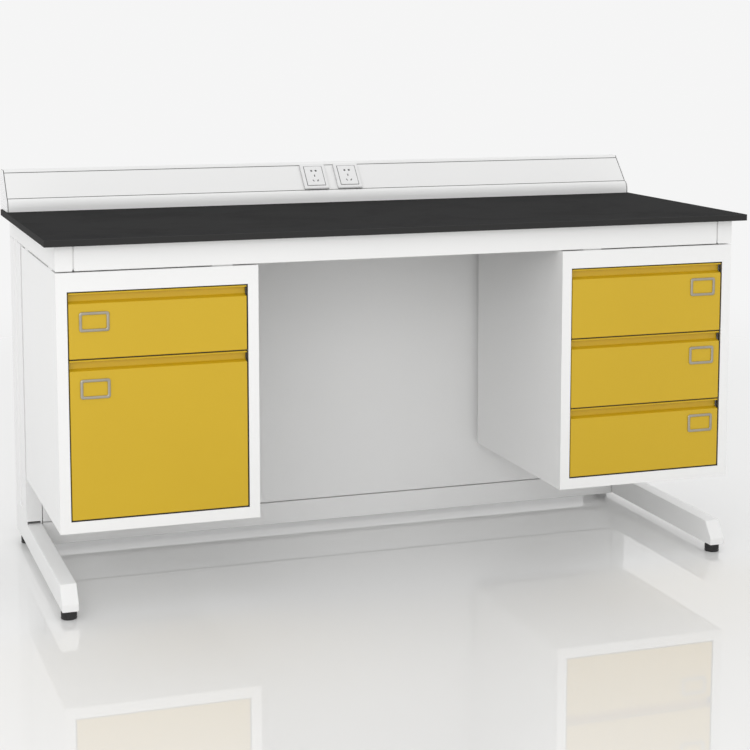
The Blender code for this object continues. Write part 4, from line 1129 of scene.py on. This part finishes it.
# %% Spin a profile
def spun(profile, centre, segments=48):
    """A closed turned shape from (radius, height) points that start and end on the axis."""
    shape = bmesh.new()
    points = [shape.verts.new((radius, 0.0, height)) for radius, height in profile]
    edges = [shape.edges.new(pair) for pair in zip(points, points[1:])]
    bmesh.ops.spin(shape, geom=points + edges, axis=(0, 0, 1), cent=(0, 0, 0), steps=segments,
                   angle=math.tau, use_merge=True)
    bmesh.ops.remove_doubles(shape, verts=shape.verts, dist=WELD)
    bmesh.ops.recalc_face_normals(shape, faces=shape.faces)
    bmesh.ops.translate(shape, vec=centre, verts=shape.verts)
    return shape


print("turned shapes ready")

# %% [markdown]
# The sizes across come from each foot's own box. The ribs and the thread grow from one seed each.

# %% Pads, stems and threads
LEVELLERS = [name for name in frame["bodies"] if name.endswith("_leveller")]
PAD_HEIGHT = 0.0205
PAD_LIP = 0.004
PAD_WAIST = 0.0012  # how far the pad draws in above its lip
STEM_RADIUS = 0.0044
STEM_SUNK = 0.002  # how far the stem starts inside the pad
STEM_SEGMENTS = 24
STEM_TIP = 0.001
THREAD_PITCH = 0.0015
THREAD_DEPTH = 0.0005
THREAD_SHORT = 0.002  # how far the thread stops before the stem's tip
RIB_COUNT = 30
RIB_RADIUS = 0.0009
RIB_MARGIN = 0.003  # from a rib's ends to the pad's lip and top


def levelling_foot(name):
    """The turned pad and its stem, with ribs and a thread."""
    low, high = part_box(name)
    radius = (high.x - low.x) / 2
    axis = Vector(((low.x + high.x) / 2, (low.y + high.y) / 2, low.z))
    waist = radius - PAD_WAIST
    pad = [(0.0, 0.0), (radius - 0.0018, 0.0), (radius - 0.0005, 0.0005), (radius, 0.0018),
           (radius, PAD_LIP), (waist, PAD_LIP + PAD_WAIST), (waist, PAD_HEIGHT - 0.0030),
           (waist - 0.0008, PAD_HEIGHT - 0.0010), (waist - 0.0025, PAD_HEIGHT), (0.0, PAD_HEIGHT)]
    store(f"{name}_pad", spun(pad, axis), BLACK_PLASTIC, name, [name])
    top = high.z - low.z
    start = PAD_HEIGHT - STEM_SUNK
    stem = [(0.0, start), (STEM_RADIUS, start), (STEM_RADIUS, top - STEM_TIP),
            (STEM_RADIUS - STEM_TIP, top), (0.0, top)]
    store(f"{name}_stem", spun(stem, axis, STEM_SEGMENTS), ZINC, name)
    up = Vector((0.0, 0.0, 1.0))
    grow(f"{name}_ribs", RIB_TREE, seeds([axis + up * (PAD_LIP + PAD_HEIGHT) / 2], [up]),
         BLACK_PLASTIC, name, "black_plastic", Count=RIB_COUNT, Ring_Radius=waist,
         Rib_Radius=RIB_RADIUS, Rib_Length=PAD_HEIGHT - PAD_LIP - 2 * RIB_MARGIN)
    grow(f"{name}_thread", THREAD_TREE, seeds([axis + up * PAD_HEIGHT], [up]), ZINC, name,
         "zinc_steel", Turns=(top - PAD_HEIGHT - THREAD_SHORT) / THREAD_PITCH, Radius=STEM_RADIUS,
         Pitch=THREAD_PITCH, Depth=THREAD_DEPTH)


for leveller in LEVELLERS:
    levelling_foot(leveller)

# %% [markdown]
# The mains supply comes in through a round gland in the service cover. Its engineering solid is
# already right, so it is copied and its edges are rounded.

# %% Mains gland
refine("mains_gland", SHEET_EDGE, BLACK_PLASTIC, "frame",
       sharp=math.radians(40.0))

# %% [markdown]
# ## Floor and light
#
# The floor is pale and polished, so the desk shows in it faintly. It fades out with distance, so
# no horizon shows.

# %% Floor
FLOOR_RADIUS = 9.0
FADE = (2.2, 5.0)  # where the floor starts and ends to fade, from the desk's middle


def floor_finish():
    """A pale polished floor that fades out into the background."""
    made, tree, shader, where = start_finish(
        "studio_floor", Specular_IOR_Level=0.8, Base_Color=(0.89, 0.89, 0.885, 1.0),
        Roughness=0.02)
    distance = add(tree, "ShaderNodeVectorMath", {0: where}, operation="LENGTH")
    fade = spread(tree, distance.outputs["Value"], *FADE)
    clear = tree.nodes.new("ShaderNodeBsdfTransparent")
    mix = add(tree, "ShaderNodeMixShader",
              {0: fade, 1: shader.outputs["BSDF"], 2: clear.outputs["BSDF"]})
    tree.links.new(mix.outputs["Shader"], tree.nodes["Material Output"].inputs["Surface"])
    return made


ground = bmesh.new()
bmesh.ops.create_circle(ground, cap_ends=True, segments=96, radius=FLOOR_RADIUS)
floor_mesh = bpy.data.meshes.new("floor")
ground.to_mesh(floor_mesh)
ground.free()
floor_mesh.materials.append(floor_finish())
floor = place("floor", floor_mesh)
print("floor", FLOOR_RADIUS, "m in radius")

# %% [markdown]
# Most of the light comes evenly from all round. One large soft light at the left front gives the
# white faces their different tones.

# %% Lights
WORLD_GREY = 0.915


def soft_light(name, spot, aim, size, watts):
    """A square area light that faces a point."""
    data = bpy.data.lights.new(name, "AREA")
    data.shape = "SQUARE"
    data.size = size
    data.energy = watts
    lamp = place(name, data)
    lamp.location = spot
    lamp.rotation_euler = (Vector(spot) - Vector(aim)).to_track_quat("Z", "Y").to_euler()
    return lamp


world = bpy.data.worlds.new("studio")
bpy.context.scene.world = world
world.use_nodes = True
background = world.node_tree.nodes["Background"]
background.inputs["Color"].default_value = (WORLD_GREY, WORLD_GREY, WORLD_GREY, 1.0)
background.inputs["Strength"].default_value = 1.0
key = soft_light("key", (-2.4, -4.6, 1.9), aim=(0.0, 0.0, 0.5), size=2.6, watts=45.0)
print("light", key.name, key.data.energy, "W")
